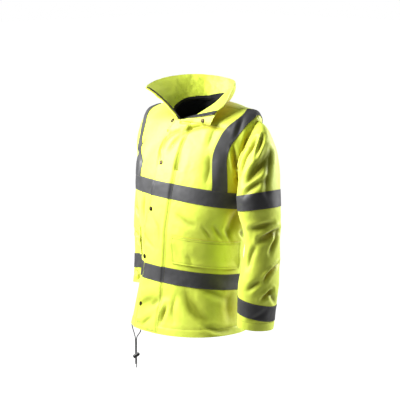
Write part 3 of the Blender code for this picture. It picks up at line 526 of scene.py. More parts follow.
# Creases as they lie on the worn jacket, by the view that each is drawn in, in degrees round from
# the wearer's front. Each is a trough with a softer ridge on both sides: its half width and depth
# in millimetres, how high its ridges stand, and its points in that view's picture.
CREASES = {
    46: [
        # upper left sleeve, from the front of the armhole outwards
        (6, 7, 0.5, [(233.2, 146), (234.6, 158), (236.4, 170), (236.8, 181)]),
        (5, 6, 0.7, [(241.8, 155), (240.2, 163), (238.6, 172), (238, 180)]),
        (7, 8, 0.9, [(256.4, 137), (251.4, 147), (245.8, 157), (242.2, 167), (239.4, 177)]),
        (5, 6, 0.8, [(263.6, 134), (260.8, 143), (257.4, 152), (255.6, 158)]),
        (13, 10, 0.7, [(270.5, 152), (264, 162), (256, 171), (247, 182)]),
        (8, 6, 0.6, [(265.5, 179), (256.5, 185), (249, 190), (244.5, 195)]),
        (9, 5, 0.4, [(272, 150), (270.5, 165), (267.5, 180), (266.5, 193)]),
        (8, 4, 0.5, [(266.5, 121), (271, 129), (275, 139)]),
        (7, 3.5, 0.5, [(243, 118), (239.5, 128), (236.5, 138)]),
        (6, 3.5, 0.6, [(249, 131), (246, 141), (243, 150)]),
        # lower left sleeve
        (9, 6, 0.6, [(272.5, 224), (262, 227), (251, 230)]),
        (9, 9, 0.9, [(281, 229), (272, 234), (261, 240)]),
        (7, 6, 0.7, [(278.5, 232), (274.5, 243), (270, 253)]),
        (6, 8, 0.8, [(283, 258), (275, 268), (267.5, 276), (264.6, 281)]),
        (6, 7, 0.8, [(273, 290), (266.5, 296), (261.5, 300)]),
        (8, 4.5, 0.5, [(247, 291), (254, 286), (261, 281)]),
        (8, 4.5, 0.5, [(269.5, 291), (274, 299), (279, 308)]),
        (7, 5, 0.6, [(241, 232), (245.5, 243), (245.5, 257)]),
        (8, 4, 0.4, [(256, 246), (250.5, 256), (248, 268)]),
        (7, 3, 0.4, [(266, 311), (258, 317), (250, 320)]),
        # chest and storm flap; those just under the turned-out collar stand in for the shadow it casts,
        # through the shade that their depth paints into the cloth
        (6, 4.5, 0.2, [(227, 129), (216, 126.2), (206, 125.6), (197, 126.6), (188, 129)]),
        (7, 5, 0.5, [
            (198, 127), (188, 129), (179, 131), (171, 134.5), (165.4, 141), (162.8, 149), (161.6, 158),
        ]),
        (7, 4.6, 0.5, [(189.6, 129.5), (181.5, 134.5), (176, 140), (171.5, 146), (167.8, 152)]),
        (11, 3, 0.3, [(217.5, 124), (212.5, 133), (208, 146)]),
        (15, 3.5, 0.3, [(206, 183), (209, 170), (209, 155)]),
        (13, 3, 0.3, [(172.5, 190), (176, 173), (183, 150)]),
        (16, 6, 0.3, [(237, 211), (233, 222), (228.5, 236)]),
        (8, 3.5, 0.5, [(144.5, 196), (143, 208), (143.5, 221)]),
        (7, 4, 0.5, [(134.5, 203), (138, 212), (142, 222)]),
        (6, 5, 0.6, [(134, 230), (138.5, 236), (143, 243)]),
        (6, 5, 0.6, [(133.5, 266), (136, 271), (139, 277)]),
        (12, 3, 0.3, [(176, 214), (186, 222), (196, 226)]),
        (9, 2.5, 0.3, [(153, 216), (158, 228), (159, 243)]),
        # above and on the pocket flap
        (5, 3, 0.5, [(213, 226), (217.5, 233), (222.5, 240)]),
        (5, 2.5, 0.5, [(203, 228), (207.5, 234), (211, 239)]),
        (5, 2.5, 0.4, [(226, 229), (229, 235), (231.5, 242)]),
        (9, 2, 0.3, [(187.5, 254), (190, 260), (192.5, 266)]),
        # skirt
        (17, 4.6, 0.5, [(185, 290), (188.5, 303), (198, 315), (209, 322)]),
        (12, 3, 0.4, [(199, 287), (212, 293), (229, 300)]),
        (7, 5, 0.6, [(166.5, 306), (163, 314), (160.4, 324)]),
        (8, 3.5, 0.5, [(158.5, 300), (150, 305)]),
        (7, 4, 0.5, [(152, 316), (146, 320), (140.5, 325)]),
        (8, 3.5, 0.5, [(205, 327), (219, 331), (232, 329)]),
        (12, 2.6, 0.3, [(232, 291), (228, 305), (230, 320)]),
        (8, 3, 0.4, [(176, 296), (172, 310), (174, 322)]),
        # right side of the body, as it shows past the storm flap
        (7, 4, 0.5, [(137.5, 150), (141, 160), (139.5, 172)]),
        (8, 4, 0.5, [(141, 236), (134.5, 246), (138, 257)]),
        (7, 4, 0.5, [(140, 276), (134.5, 284), (131.5, 296)]),
    ],
    -44: [
        # front, from the wearer's right
        (12, 7, 0.6, [(252, 207), (238, 214), (222, 219), (208, 219)]),
        (9, 5, 0.5, [(250, 228), (238, 236), (224, 239)]),
        (15, 6, 0.4, [(236, 292), (222, 303), (202, 316)]),
        (8, 5, 0.5, [(178, 148), (172, 160), (168, 176)]),
        (8, 6, 0.7, [(150, 140), (158, 152), (164, 168)]),
        (12, 9, 0.8, [(132, 156), (142, 166), (154, 178)]),
        (7, 6, 0.7, [(144, 138), (148, 150), (152, 160)]),
        (9, 8, 0.8, [(124, 232), (136, 236), (148, 244)]),
        (8, 6, 0.6, [(158, 226), (148, 232), (136, 228)]),
        (6, 7, 0.8, [(128, 262), (138, 272), (146, 278)]),
        (7, 5, 0.6, [(134, 292), (144, 300), (154, 298)]),
        (8, 4, 0.4, [(206, 232), (214, 244), (226, 250)]),
        (12, 4, 0.4, [(196, 282), (204, 298), (200, 316)]),
    ],
    136: [
        # left side and back
        (10, 7, 0.7, [(196, 138), (188, 152), (178, 168)]),
        (12, 9, 0.8, [(206, 158), (194, 170), (180, 182)]),
        (8, 6, 0.7, [(214, 148), (206, 160), (200, 172)]),
        (9, 8, 0.8, [(204, 232), (192, 238), (178, 246)]),
        (8, 6, 0.6, [(176, 228), (188, 234), (200, 246)]),
        (7, 7, 0.8, [(210, 262), (198, 272), (188, 280)]),
        (7, 5, 0.6, [(180, 292), (190, 300), (202, 298)]),
        (14, 6, 0.4, [(222, 292), (238, 304), (252, 320)]),
    ],
    226: [
        (16, 7, 0.5, [(150, 226), (172, 240), (200, 246)]),
        (14, 6, 0.5, [(252, 222), (232, 236), (212, 242)]),
        (11, 5, 0.5, [(146, 246), (166, 254), (188, 254)]),
        (10, 5, 0.5, [(256, 250), (238, 256), (218, 252)]),
        (14, 6, 0.4, [(150, 142), (162, 160), (170, 182)]),
        (14, 6, 0.4, [(250, 142), (240, 160), (234, 182)]),
        (16, 5, 0.3, [(176, 124), (200, 134), (226, 124)]),
        (16, 6, 0.4, [(158, 294), (172, 308), (178, 326)]),
        (16, 6, 0.4, [(236, 292), (226, 308), (222, 326)]),
        (12, 4, 0.4, [(196, 286), (200, 302), (196, 318)]),
        (7, 6, 0.7, [(124, 268), (134, 278), (142, 282)]),
        (12, 9, 0.8, [(286, 156), (274, 168), (264, 180)]),
        (10, 8, 0.8, [(284, 232), (272, 238), (262, 248)]),
        (7, 6, 0.7, [(282, 262), (272, 272), (264, 280)]),
    ],
}
CLOTH_NODES = [n["node"] for n in frame["record"]["subparts"] if n["material_slot"] == "hi_vis_cloth"]
VIEW_AXIS = Vector((0.0, -0.045, 0.0))
MARK_STEP = 2.0  # of the picture's 400, between the points of a crease
MARK_JUMP = 30 * MM  # a point further on than this lies on another piece, and is left out
sight_points, sight_faces = [], []
for node_name in CLOTH_NODES:
    mesh = frame["nodes"][node_name].data
    first = len(sight_points)
    sight_points += [v.co.copy() for v in mesh.vertices]
    sight_faces += [[first + v for v in face.vertices] for face in mesh.polygons]
cloth_tree = BVHTree.FromPolygons(sight_points, sight_faces)


def seen_at(azimuth, x, y):
    """The point of the cloth, and its normal, at a place in the picture taken from an azimuth."""
    turn = Matrix.Rotation(math.radians(azimuth - CAMERA_TURN), 3, "Z")
    facing = camera.rotation_quaternion.to_matrix()
    focal = CAMERA_LENS / SENSOR * PICTURE
    way = facing @ Vector((x - PICTURE / 2, PICTURE / 2 - y, -focal))
    start = VIEW_AXIS + turn @ (CAMERA_AT - VIEW_AXIS)
    place, normal, _, _ = cloth_tree.ray_cast(start, (turn @ way).normalized())
    return place, normal


def crease_run(azimuth, marks):
    """The crease's points on the cloth, at even steps in its picture, and the normals there."""
    run = smooth_route([(x, y, 0.0) for x, y in marks], MARK_STEP)
    found = [seen_at(azimuth, x, y) for x, y, _ in run]
    found = [(p, n) for p, n in found if p is not None]
    kept = [found[0]] if found else []
    for p, n in found[1:]:
        if (p - kept[-1][0]).length < MARK_JUMP:
            kept.append((p, n))
    return np.array([p for p, _ in kept]), np.array([n for _, n in kept])


TROUGH = (1.25, 1.15)  # its width against the one drawn, and its profile's exponent: lower is sharper
RIDGES = ((2.0, 0.9, 0.6), (-2.2, 1.2, 0.35))  # place and half width, in widths, and share of height
TAPER = (0.86, 0.07, 0.7)  # how a crease runs out: share of a half wave, its start, and its exponent
HEAPED_GAIN = 1.75  # for creases drawn in the camera's view, which add up where they cross
PLAIN_GAIN = 1.2  # for the others, which don't
creases = []
for azimuth, drawn in CREASES.items():
    heaped = azimuth == CAMERA_TURN
    gain = HEAPED_GAIN if heaped else PLAIN_GAIN
    for width, depth, ridge, marks in drawn:
        run, facing = crease_run(azimuth, marks)
        if len(run) > 2:
            creases.append((width * MM, depth * MM * gain, ridge, run, facing, heaped))


def crease_height(points, normals):
    """How far the creases move each point out along its normal."""
    height, low, high = (np.zeros(len(points)) for _ in range(3))
    for width, depth, ridge, run, facing, heaped in creases:
        near = np.all((points > run.min(0) - 4 * width) & (points < run.max(0) + 4 * width), axis=1)
        index = np.nonzero(near)[0]
        if not len(index):
            continue
        here = points[index]
        best = np.full(len(here), 1e9)
        share, signed, agree = (np.zeros(len(here)) for _ in range(3))
        for k in range(len(run) - 1):
            a, d = run[k], run[k + 1] - run[k]
            t = np.clip((here - a) @ d / (d @ d), 0, 1)
            off = here - a - t[:, None] * d
            away = np.linalg.norm(off, axis=1)
            closer = away < best
            side = np.cross(d, facing[k])
            best[closer] = away[closer]
            share[closer] = (k + t[closer]) / (len(run) - 1)
            signed[closer] = np.sign(off[closer] @ side)
            agree[closer] = normals[index[closer]] @ facing[k]
        taper = np.sin(math.pi * np.clip(share * TAPER[0] + TAPER[1], 0, 1)) ** TAPER[2]
        shape = -np.exp(-((best / (TROUGH[0] * width)) ** TROUGH[1]))
        for centre, spread, rise in RIDGES:
            shape += rise * ridge * np.exp(-(((signed * best - centre * width) / (spread * width)) ** 2))
        value = depth * taper * shape * np.clip(agree * 3, 0, 1)
        if heaped:
            height[index] += value
        else:
            low[index], high[index] = np.minimum(low[index], value), np.maximum(high[index], value)
    return height + low + high


def rumple(points):
    """The cloth's own unevenness: slow swells, and smaller dents between them."""
    return MM * np.array([
        sum(height * noise.noise(Vector(p) * waves + Vector(shift)) for height, waves, shift in SWELLS)
        for p in points
    ])


def tree_of(places):
    """A search tree over points."""
    tree = KDTree(len(places))
    for k, place in enumerate(places):
        tree.insert(place, k)
    tree.balance()
    return tree


# A border point of one piece is sewn to the nearest point of another's border: both move there
# along one shared normal, and then meet half way. Borders further apart than this aren't sewn.
SEAM_REACH = 3.5 * MM
NECK_REACH = 9.0 * MM
ARM_REACH = 18.0 * MM
FRONT_REACH = 1.0 * MM
ARM_FLOOR = -0.45  # the armholes lie above this height
BORDER_STEP = 12 * MM  # two points that follow each other on a border are no further apart
rest = {name: points_of(made) for name, made in shell.items()}
borders = {name: border_of(made)[0] for name, made in shell.items()}
beside_of = {name: beside_on_border(made) for name, made in shell.items()}
border_tree = {name: tree_of(rest[name][borders[name]]) for name in shell}


def reach_between(name, other, height):
    """How far apart the borders of two pieces may lie and still be sewn to each other."""
    if "collar" in (name, other):
        return NECK_REACH
    if "sleeve" in name + other:
        return ARM_REACH if height > ARM_FLOOR else 0.0
    return FRONT_REACH if name.startswith("front") and other.startswith("front") else SEAM_REACH


def sewn_to(place, other, reach):
    """The point of another piece's border that a place is sewn to: its two vertices and share."""
    _, k, away = border_tree[other].find(place)
    if away > reach + BORDER_STEP:
        return None
    at = int(borders[other][k])
    found = (away, at, at, 0.0)
    for ahead in beside_of[other][at]:
        way = rest[other][ahead] - rest[other][at]
        share = float(np.clip((place - rest[other][at]) @ way / (way @ way), 0, 1))
        away = float(np.linalg.norm(rest[other][at] + share * way - place))
        if away < found[0]:
            found = (away, at, ahead, share)
    return found[1:] if found[0] < reach else None


joins = {}
for name in shell:
    for index in borders[name]:
        place = rest[name][index]
        for other in shell:
            found = other != name and sewn_to(place, other, reach_between(name, other, place[2]))
            if found:
                joins.setdefault((name, int(index)), []).append((other, *found))
sewn_tree = tree_of([rest[name][index] for name, index in joins])


def seam_height(points):
    """The dip at a seam and the uneven puckers beside it."""
    out = np.zeros(len(points))
    for k, p in enumerate(points):
        _, _, away = sewn_tree.find(p)
        if away < 4 * PUCKER[1]:
            pull = noise.noise(Vector(p) * PUCKER[2])
            out[k] = pull * PUCKER[0] * math.exp(-((away / PUCKER[1]) ** 2))
            out[k] -= SEAM_DIP[0] * math.exp(-((away / SEAM_DIP[1]) ** 2))
    return out


# The hem and cuffs are turned up 25 mm and stitched: a little thicker up to that line, and a
# groove along it.
HEM_TURN = 25 * MM
HEM_RISE = 45 * MM  # a hem or cuff lies no higher than this over its lowest point
HEM_STEP = (0.5 * MM, 1.5 * MM)  # how much thicker the turn is, and how softly that ends
HEM_GROOVE = (1.1 * MM, 3.5 * MM)  # depth and half width
HEM_PUCKER = (0.5, 70)  # share by which the groove's depth swings, and waves a metre
hem_spots = []
for name, border in borders.items():
    if name != "collar":
        places = rest[name][border]
        hem_spots += list(places[places[:, 2] < places[:, 2].min() + HEM_RISE])
hem_tree = tree_of(hem_spots)


def hem_height(points):
    """The turned-up hem and its stitched groove."""
    out = np.zeros(len(points))
    for k, p in enumerate(points):
        away = hem_tree.find(p)[2]
        if away < 2 * HEM_TURN:
            puckers = 1 + HEM_PUCKER[0] * noise.noise(Vector(p) * HEM_PUCKER[1])
            out[k] = HEM_STEP[0] / (1 + math.exp((away - HEM_TURN) / HEM_STEP[1]))
            out[k] -= HEM_GROOVE[0] * puckers * math.exp(-(((away - HEM_TURN) / HEM_GROOVE[1]) ** 2))
    return out


SNAP_CENTRES = {}
for node_name in frame["nodes"]:
    if node_name.startswith("snap_"):
        low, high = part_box(node_name)
        SNAP_CENTRES[node_name] = (low + high) / 2
SNAP_DENT = (1.3 * MM, 12 * MM)  # depth and half width


def snap_height(points):
    """The cloth is drawn in round each press stud."""
    out = np.zeros(len(points))
    for centre in SNAP_CENTRES.values():
        away = np.linalg.norm(points - np.array(centre), axis=1)
        out -= SNAP_DENT[0] * np.exp(-((away / SNAP_DENT[1]) ** 2))
    return out


def worn_height(points, normals):
    """All that moves the cloth out of its cut form."""
    heights = crease_height(points, normals) + rumple(points) + seam_height(points)
    return heights + snap_height(points) + hem_height(points)


def added_up(values):
    """The pieces' values at their vertices; a sewn border point's has those that it joins added."""
    out = {name: value.copy() for name, value in values.items()}
    for (name, index), group in joins.items():
        out[name][index] += sum(
            values[other][a] * (1 - share) + values[other][b] * share for other, a, b, share in group
        )
    return out


moved, lift = {}, {}
shared = added_up({name: normals_of(made) for name, made in shell.items()})
for name, index in joins:
    shared[name][index] /= np.linalg.norm(shared[name][index])
for name, made in shell.items():
    places = points_of(made)
    lift[name] = worn_height(places, shared[name])
    if name == "collar":
        lift[name] += COLLAR_WRINKLE[0] * rumple(places * COLLAR_WRINKLE[1])
    moved[name] = places + shared[name] * lift[name][:, None]
settled = added_up(moved)
for (name, index), group in joins.items():
    settled[name][index] /= 1 + len(group)
for name, made in shell.items():
    put_points(made, settled[name])

# The collar's two rounded forms: the bow of its right front edge, and its roll behind the left.
zip_places = np.array([v.co for v in frame["nodes"]["zip_right"].data.vertices])
EDGE_FOOT, EDGE_TIP = (zip_places[k] for k in (zip_places[:, 2].argmin(), zip_places[:, 2].argmax()))
EDGE_BOW = (9.5 * MM, 38 * MM)  # how far the edge bows out, and how far in from it that reaches
BOW_WAY = np.array((0.25, -0.1, 0.95))
COLLAR_ROLL = (14 * MM, 7 * MM)  # how far its middle swells out and its brim leans in
ROLL_TURN = (143, 56)  # where round the neck, and half how far, in degrees


def bow_edge(places):
    """Lifts the middle of the right collar's front edge, which is a little convex."""
    along = EDGE_TIP - EDGE_FOOT
    share = (places - EDGE_FOOT) @ along / (along @ along)
    away = np.linalg.norm(places - EDGE_FOOT - np.clip(share, 0, 1)[:, None] * along, axis=1)
    rise = EDGE_BOW[0] * np.sin(math.pi * np.clip(share, 0, 1)) ** 0.8
    rise *= np.exp(-((away / EDGE_BOW[1]) ** 2)) * (np.abs(share - 0.5) < 0.5)
    return places + BOW_WAY * rise[:, None]


def roll_collar(made, places):
    """The collar as it is rolled behind the wearer's left: swollen in the middle, brim drawn in."""
    edges = sorted(border_runs(made), key=lambda run: sum(("collar", int(i)) in joins for i in run))
    foot, brim = tree_of(places[edges[-1]]), tree_of(places[max(edges[:-1], key=len)])
    out = places.copy()
    for k, place in enumerate(places):
        off = (math.degrees(math.atan2(place[0], -place[1])) - ROLL_TURN[0] + 180) % 360 - 180
        if abs(off) < ROLL_TURN[1]:
            low, high = foot.find(place)[2], brim.find(place)[2]
            level = low / (low + high)
            swell = COLLAR_ROLL[0] * math.sin(math.pi * level) ** 0.9 - COLLAR_ROLL[1] * level**5
            away = place * (1, 1, 0) / np.hypot(place[0], place[1])
            out[k] += away * swell * math.cos(math.pi / 2 * off / ROLL_TURN[1]) ** 2
    return out


put_points(shell["collar"], roll_collar(shell["collar"], bow_edge(points_of(shell["collar"]))))


def mark_cloth(made, line, radius, heights):
    """A UV map in metres, round the piece's line and along it, and the depth of its creases."""
    start, end = (np.array(p) for p in line)
    along = (end - start) / np.linalg.norm(end - start)
    ahead = np.cross(along, (1.0, 0.0, 0.0))
    ahead /= np.linalg.norm(ahead)
    aside = np.cross(along, ahead)
    off = points_of(made) - start
    turn = np.arctan2(off @ aside, off @ ahead) * radius
    level = off @ along
    uv = made.data.uv_layers.new(name="cloth")
    corner = numbers_of(made.data.loops, "vertex_index", kind=int)
    u = turn[corner]
    for face in made.data.polygons:
        part = slice(face.loop_start, face.loop_start + face.loop_total)
        if np.ptp(u[part]) > math.pi * radius:
            u[part] = np.where(u[part] < 0, u[part] + 2 * math.pi * radius, u[part])
    uv.data.foreach_set("uv", np.stack([u, level[corner]], axis=1).ravel())
    # The cloth's finish reads this depth to paint shade into its colour.
    fold = made.data.attributes.new("crease", "FLOAT", "POINT")
    fold.data.foreach_set("value", (heights / MM).astype(np.float32))


def thicken(made, depth, *finishes):
    """Turns the skin into a wall, from its outer face inwards: the materials outside and inside."""
    made.data.materials.clear()
    for finish in finishes:
        made.data.materials.append(finish)
    select_only(made)
    wall = made.modifiers.new("wall", "SOLIDIFY")
    wall.thickness, wall.offset = depth, -1.0
    wall.use_quality_normals = True
    if len(finishes) > 1:
        wall.material_offset = 1
    bpy.ops.object.modifier_apply(modifier="wall")
    made.data.shade_smooth()
    bpy.ops.object.shade_smooth_by_angle(angle=math.radians(60))


# Oxford weave of coated polyester. Its threads are 0.6 mm apart; the weave is drawn twice as coarse so that
# it shows at all.
# The fluorescent dye looks paler in the light; the mustard of its folds is painted shade, mixed in by crease
# depth and by ambient occlusion.
def oxford(name, pale, deep, fold_shade_tint, occlusion_shade_tint, roughness, sheen):
    finish, tree = new_finish(name)
    cut = add_node(tree, "UVMap", {}, uv_map="cloth").outputs["UV"]
    place = add_node(tree, "TexCoord", {}).outputs["Object"]
    warp, weft = (
        add_node(
            tree,
            "TexWave",
            {"Vector": cut, "Scale": 262.0, "Distortion": 0.6, "Detail": 1.0},
            bands_direction=direction,
        ).outputs["Fac"]
        for direction in ("X", "Y")
    )
    weave = add_node(tree, "Math", {0: warp, 1: weft}, operation="MULTIPLY")
    patches = add_node(tree, "TexNoise", {"Vector": place, "Scale": 14.0, "Detail": 4.0})
    dye = add_node(tree, "ValToRGB", {"Fac": patches.outputs["Fac"]}, ramp=((0.3, deep), (0.7, pale)))
    # Painted shade: the deeper a crease, the more the colour is mixed towards the fold shade tint.
    crease = add_node(tree, "Attribute", {}, attribute_name="crease")
    # Painted shade: ambient occlusion mixes the colour towards a deep mustard where cloth lies near cloth,
    # standing in for light bounced from cloth to cloth.
    shelter = add_node(tree, "AmbientOcclusion", {"Distance": 0.075}, samples=6)
    colour = dye.outputs["Color"]
    for depth, least, most, share, tint in (
        (crease.outputs["Fac"], -1.2, -6.2, 0.95, fold_shade_tint),  # millimetres
        (shelter.outputs["AO"], 0.93, 0.4, 0.9, occlusion_shade_tint),
    ):
        ends = {"From Min": least, "From Max": most, "To Min": 0.0, "To Max": share}
        shadow = add_node(tree, "MapRange", {"Value": depth, **ends})
        mixed = add_node(tree, "Mix", {0: shadow.outputs["Result"]}, data_type="RGBA")
        under, over = [socket for socket in mixed.inputs if socket.type == "RGBA"]
        tree.links.new(colour, under)
        over.default_value = linear_colour(tint)
        colour = next(socket for socket in mixed.outputs if socket.type == "RGBA")
    small = add_node(tree, "TexNoise", {"Vector": place, "Scale": 90.0, "Detail": 3.0}).outputs["Fac"]
    crumple = add_node(tree, "Bump", {"Height": small, "Strength": 0.35, "Distance": 0.0016})
    relief = {"Height": weave.outputs[0], "Strength": 0.15, "Distance": 0.0003}
    bump = add_node(tree, "Bump", {**relief, "Normal": crumple.outputs["Normal"]})
    gloss = {"Roughness": roughness, "Specular IOR Level": 0.4, "Sheen Weight": sheen}
    shade(tree, {"Base Color": colour, **gloss, "Normal": bump.outputs["Normal"]})
    return finish


# The last two colours are painted shade: mustard mixed in by crease depth, and by ambient occlusion where
# cloth lies near cloth.
hi_vis = oxford("fluorescent_oxford_polyester", "dfed52", "d4e645", "8f9a08", "b8a800", 0.55, 0.2)
lining = oxford("black_taffeta_lining", "17171a", "101012", "0a0a0b", "0a0a0b", 0.85, 0.0)

skins, runs = {}, {}


def keep_skin(name, made):
    """Keeps a finished skin's points, faces, normals and border runs for what is put on it."""
    skins[name] = (points_of(made), [list(face.vertices) for face in made.data.polygons], normals_of(made))
    runs[name] = border_runs(made)


def length_of(name, run):
    """The length of a run of a finished skin's border."""
    return float(np.linalg.norm(np.diff(skins[name][0][run], axis=0), axis=1).sum())


def height_of(name, run):
    """How high a run of a finished skin's border lies."""
    return float(skins[name][0][run, 2].mean())


def tree_over(names):
    """A search tree over finished skins, with their smooth normals."""
    points, faces, normals = [], [], []
    for name in names:
        p, f, n = skins[name]
        first = len(points)
        points += [Vector(x) for x in p]
        normals += [Vector(x) for x in n]
        faces += [[first + i for i in face] for face in f]
    return BVHTree.FromPolygons(points, faces), faces, normals


def nearest_on(over, place, reach=1.0):
    """The nearest point of the skins in a tree, and their smooth normal there, or None twice."""
    tree, faces, normals = over
    found, _, face, _ = tree.find_nearest(place, reach)
    if found is None:
        return None, None
    return found, sum((normals[i] for i in faces[face]), Vector()).normalized()


CLEAR_REACH = 30 * MM  # what is further off than this isn't looked for


def keep_clear(places, names, gap, drawn_in=False):
    """Moves each point that lies nearer to the named skins than the gap out to it, or all to it."""
    over = tree_over(names)
    out = places.copy()
    for k, p in enumerate(places):
        found, normal = nearest_on(over, p, CLEAR_REACH)
        if found is not None:
            here = (Vector(p) - found).dot(normal)
            if here < gap or drawn_in:
                out[k] = p + np.array(normal) * (gap - here)
    return out


# The lining's black shows at the neck seam: on the panels' turned-in edges, and up the inside of
# the collar as a low band, wider behind the wearer's left.
LINED_RISE = [(-180, 24), (-165, 19), (-145, 11), (-100, 9), (0, 8), (60, 12), (110, 28), (180, 24)]
LINED_EDGE = 4 * MM  # the collar's own edges are lining this near to the seam
RIM_FROM = -0.12  # height above which a panel's rim is lining
neck_edge = tree_of([
    spot for name in ("front_left", "front_right", "back") for spot in settled[name][borders[name]]
])
for name, made in shell.items():
    line, radius, (width, length, area) = SHELL[name]
    mark_cloth(made, line, radius, lift[name])
    keep_skin(name, made)
    skin_faces = len(made.data.polygons)
    thicken(made, wall_depth[name], *((hi_vis, hi_vis, lining) if name == "collar" else (hi_vis, lining)))
    for face in made.data.polygons:
        rim = face.index >= 2 * skin_faces
        if name != "collar":
            if rim and face.center.z > RIM_FROM:
                face.material_index = 1
        elif rim or face.material_index == 1:
            turn = math.degrees(math.atan2(face.center.x, -face.center.y))
            rise = np.interp(turn, *zip(*LINED_RISE)) * MM
            if neck_edge.find(face.center)[2] < (LINED_EDGE if rim else rise):
                face.material_index = 2
    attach(made, "root")
    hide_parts(name)

# ---- Zip ---------------------------------------------------------------------------------------
# A black zip in three runs: closed down the front under the storm flap, and open up both sides of
# the collar. Its woven tape is sewn in; the moulded acetal teeth grip the tape's beaded edge.
TOOTH = (1.5 * MM, 3.0 * MM, 1.7 * MM)  # along the zip, across it, and high
TOOTH_PITCH = 2.9 * MM
TOOTH_HEAD = ((0.5 * MM, (1.25, 1, 0.75)), (0.7 * MM, (0.7, 1, 0.8)))  # its steps out, and their sizes
TOOTH_REACH = 2 * MM  # this far from the tape's edge, across it, there is tape on one side alone
ZIP_GAP = 0.3 * MM  # between the tape and the cloth under it
# the line it goes round, what it is sewn to, how far its teeth stand out across the tape and above
# it in millimetres, and the width, length and area of its tape
ZIPS = {
    "zip": (TRUNK, ("front_left", "front_right"), (-0.9, -0.7), (0.065, 0.668, 0.0358)),
    "zip_left": (NECK, ("collar",), (-0.2, 0.0), (0.0101, 0.123, 0.00121)),
    "zip_right": (NECK, ("collar",), (-0.2, 0.0), (0.0101, 0.099, 0.00097)),
}

# Plain woven polyester tape: near black, ribbed across.
zip_finish, tree = new_finish("woven_black_zip_tape")
place = add_node(tree, "TexCoord", {}).outputs["Object"]
woven = {"Vector": place, "Scale": 260.0, "Distortion": 1.0}
ribs = add_node(tree, "TexWave", woven, bands_direction="DIAGONAL").outputs["Fac"]
tone = add_node(tree, "ValToRGB", {"Fac": ribs}, ramp=((0, "0b0b0c"), (1, "1e1e20")))
bump = add_node(tree, "Bump", {"Height": ribs, "Strength": 0.4, "Distance": 0.0003})
shade(tree, {"Base Color": tone.outputs["Color"], "Roughness": 0.7, "Normal": bump.outputs["Normal"]})

acetal_finish = moulded("moulded_black_acetal", "161617", 0.33, 1800.0, 0.1)


def taken_apart(made):
    """The points and faces of a small modelled shape that is to be copied; its object goes."""
    parts = points_of(made), [list(face.vertices) for face in made.data.polygons]
    bpy.data.objects.remove(made)
    return parts


def copied_to(name, shape, spots):
    """One mesh with a copy of a small shape at each spot, turned to the spot's three axes."""
    shape_points, shape_faces = shape
    points, faces = [], []
    for place, axes in spots:
        first = len(points) * len(shape_points)
        points.append(np.array(place) + shape_points @ axes)
        order = 1 if np.linalg.det(axes) > 0 else -1
        faces += [[first + i for i in face[::order]] for face in shape_faces]
    mesh = bpy.data.meshes.new(name)
    mesh.from_pydata(np.concatenate(points).tolist(), [], faces)
    return put_in_scene(name, mesh)


def laid_along(way, up):
    """A direction turned to lie flat on a surface."""
    return (Vector(way) - up * Vector(way).dot(up)).normalized()


bpy.ops.object.select_all(action="DESELECT")
bpy.ops.mesh.primitive_cube_add(size=1.0)
tooth = bpy.context.object
tooth.data.transform(Matrix.Diagonal((*TOOTH, 1)))
bpy.ops.object.mode_set(mode="EDIT")
pick(tooth, "faces", lambda face: face.normal.y > 0.9)
for step, size in TOOTH_HEAD:
    bpy.ops.mesh.extrude_region_move(TRANSFORM_OT_translate={"value": (0, step, 0)})
    bpy.ops.transform.resize(value=size)
bpy.ops.object.mode_set(mode="OBJECT")
tooth_shape = taken_apart(tooth)


def middle_line(points, runs):
    """The line half way between two long edges of a tape."""
    first, second = runs
    near, far = (np.linalg.norm(points[first[0]] - points[second[end]]) for end in (0, -1))
    share = np.linspace(0, 1, 200)
    sides = [
        np.stack([np.interp(share * (len(run) - 1), range(len(run)), points[run][:, k]) for k in range(3)], 1)
        for run in (first, second if near < far else second[::-1])
    ]
    return (sides[0] + sides[1]) / 2


for name, (line, under, (outward, upward), (width, length, area)) in ZIPS.items():
    tape, depth = skin_of(name, line, name + "_tape")
    subdivide(tape, 2)
    places, normals = points_of(tape), normals_of(tape)
    heights = crease_height(places, normals) + rumple(places)
    places = places + normals * heights[:, None]
    if name == "zip_right":
        places = bow_edge(places)
    if name == "zip":
        places = keep_clear(places, under, depth + ZIP_GAP)
    put_points(tape, places)
    keep_skin(name, tape)
    thicken(tape, depth, zip_finish)
    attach(tape, "root")
    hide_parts(name)

    # The closed zip has a row of teeth on each half, which mesh; an open one has them on its free edge.
    long_runs = sorted(runs[name], key=lambda run: -length_of(name, run))[:2]
    if name == "zip":
        route = smooth_route(middle_line(places, long_runs)[::4], TOOTH_PITCH)
    else:
        collar_tree = tree_over(["collar"])[0]
        free = max(long_runs, key=lambda run: collar_tree.find_nearest(places[run[len(run) // 2]])[3])
        route = smooth_route(places[free][::3], TOOTH_PITCH)
    over = tree_over([name])
    spots = []
    for half in (0, 1) if name == "zip" else (None,):
        for k, (place, way) in enumerate(zip(route[1:-1], np.gradient(route, axis=0)[1:-1])):
            if half not in (None, k % 2):
                continue
            up = nearest_on(over, place)[1]
            along = laid_along(way, up)
            out = up.cross(along) * (-1 if half else 1)
            if half is None:
                beyond = [
                    over[0].find_nearest(Vector(place) + out * step * TOOTH_REACH)[3] for step in (1, -1)
                ]
                out *= -1 if beyond[0] < beyond[1] else 1
            shift = out * outward * MM + up * upward * MM
            spots.append((Vector(place) + shift, np.array([along, out, up])))
    teeth = copied_to(name + "_teeth", tooth_shape, spots)
    teeth.data.materials.append(acetal_finish)
    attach(teeth, "root")

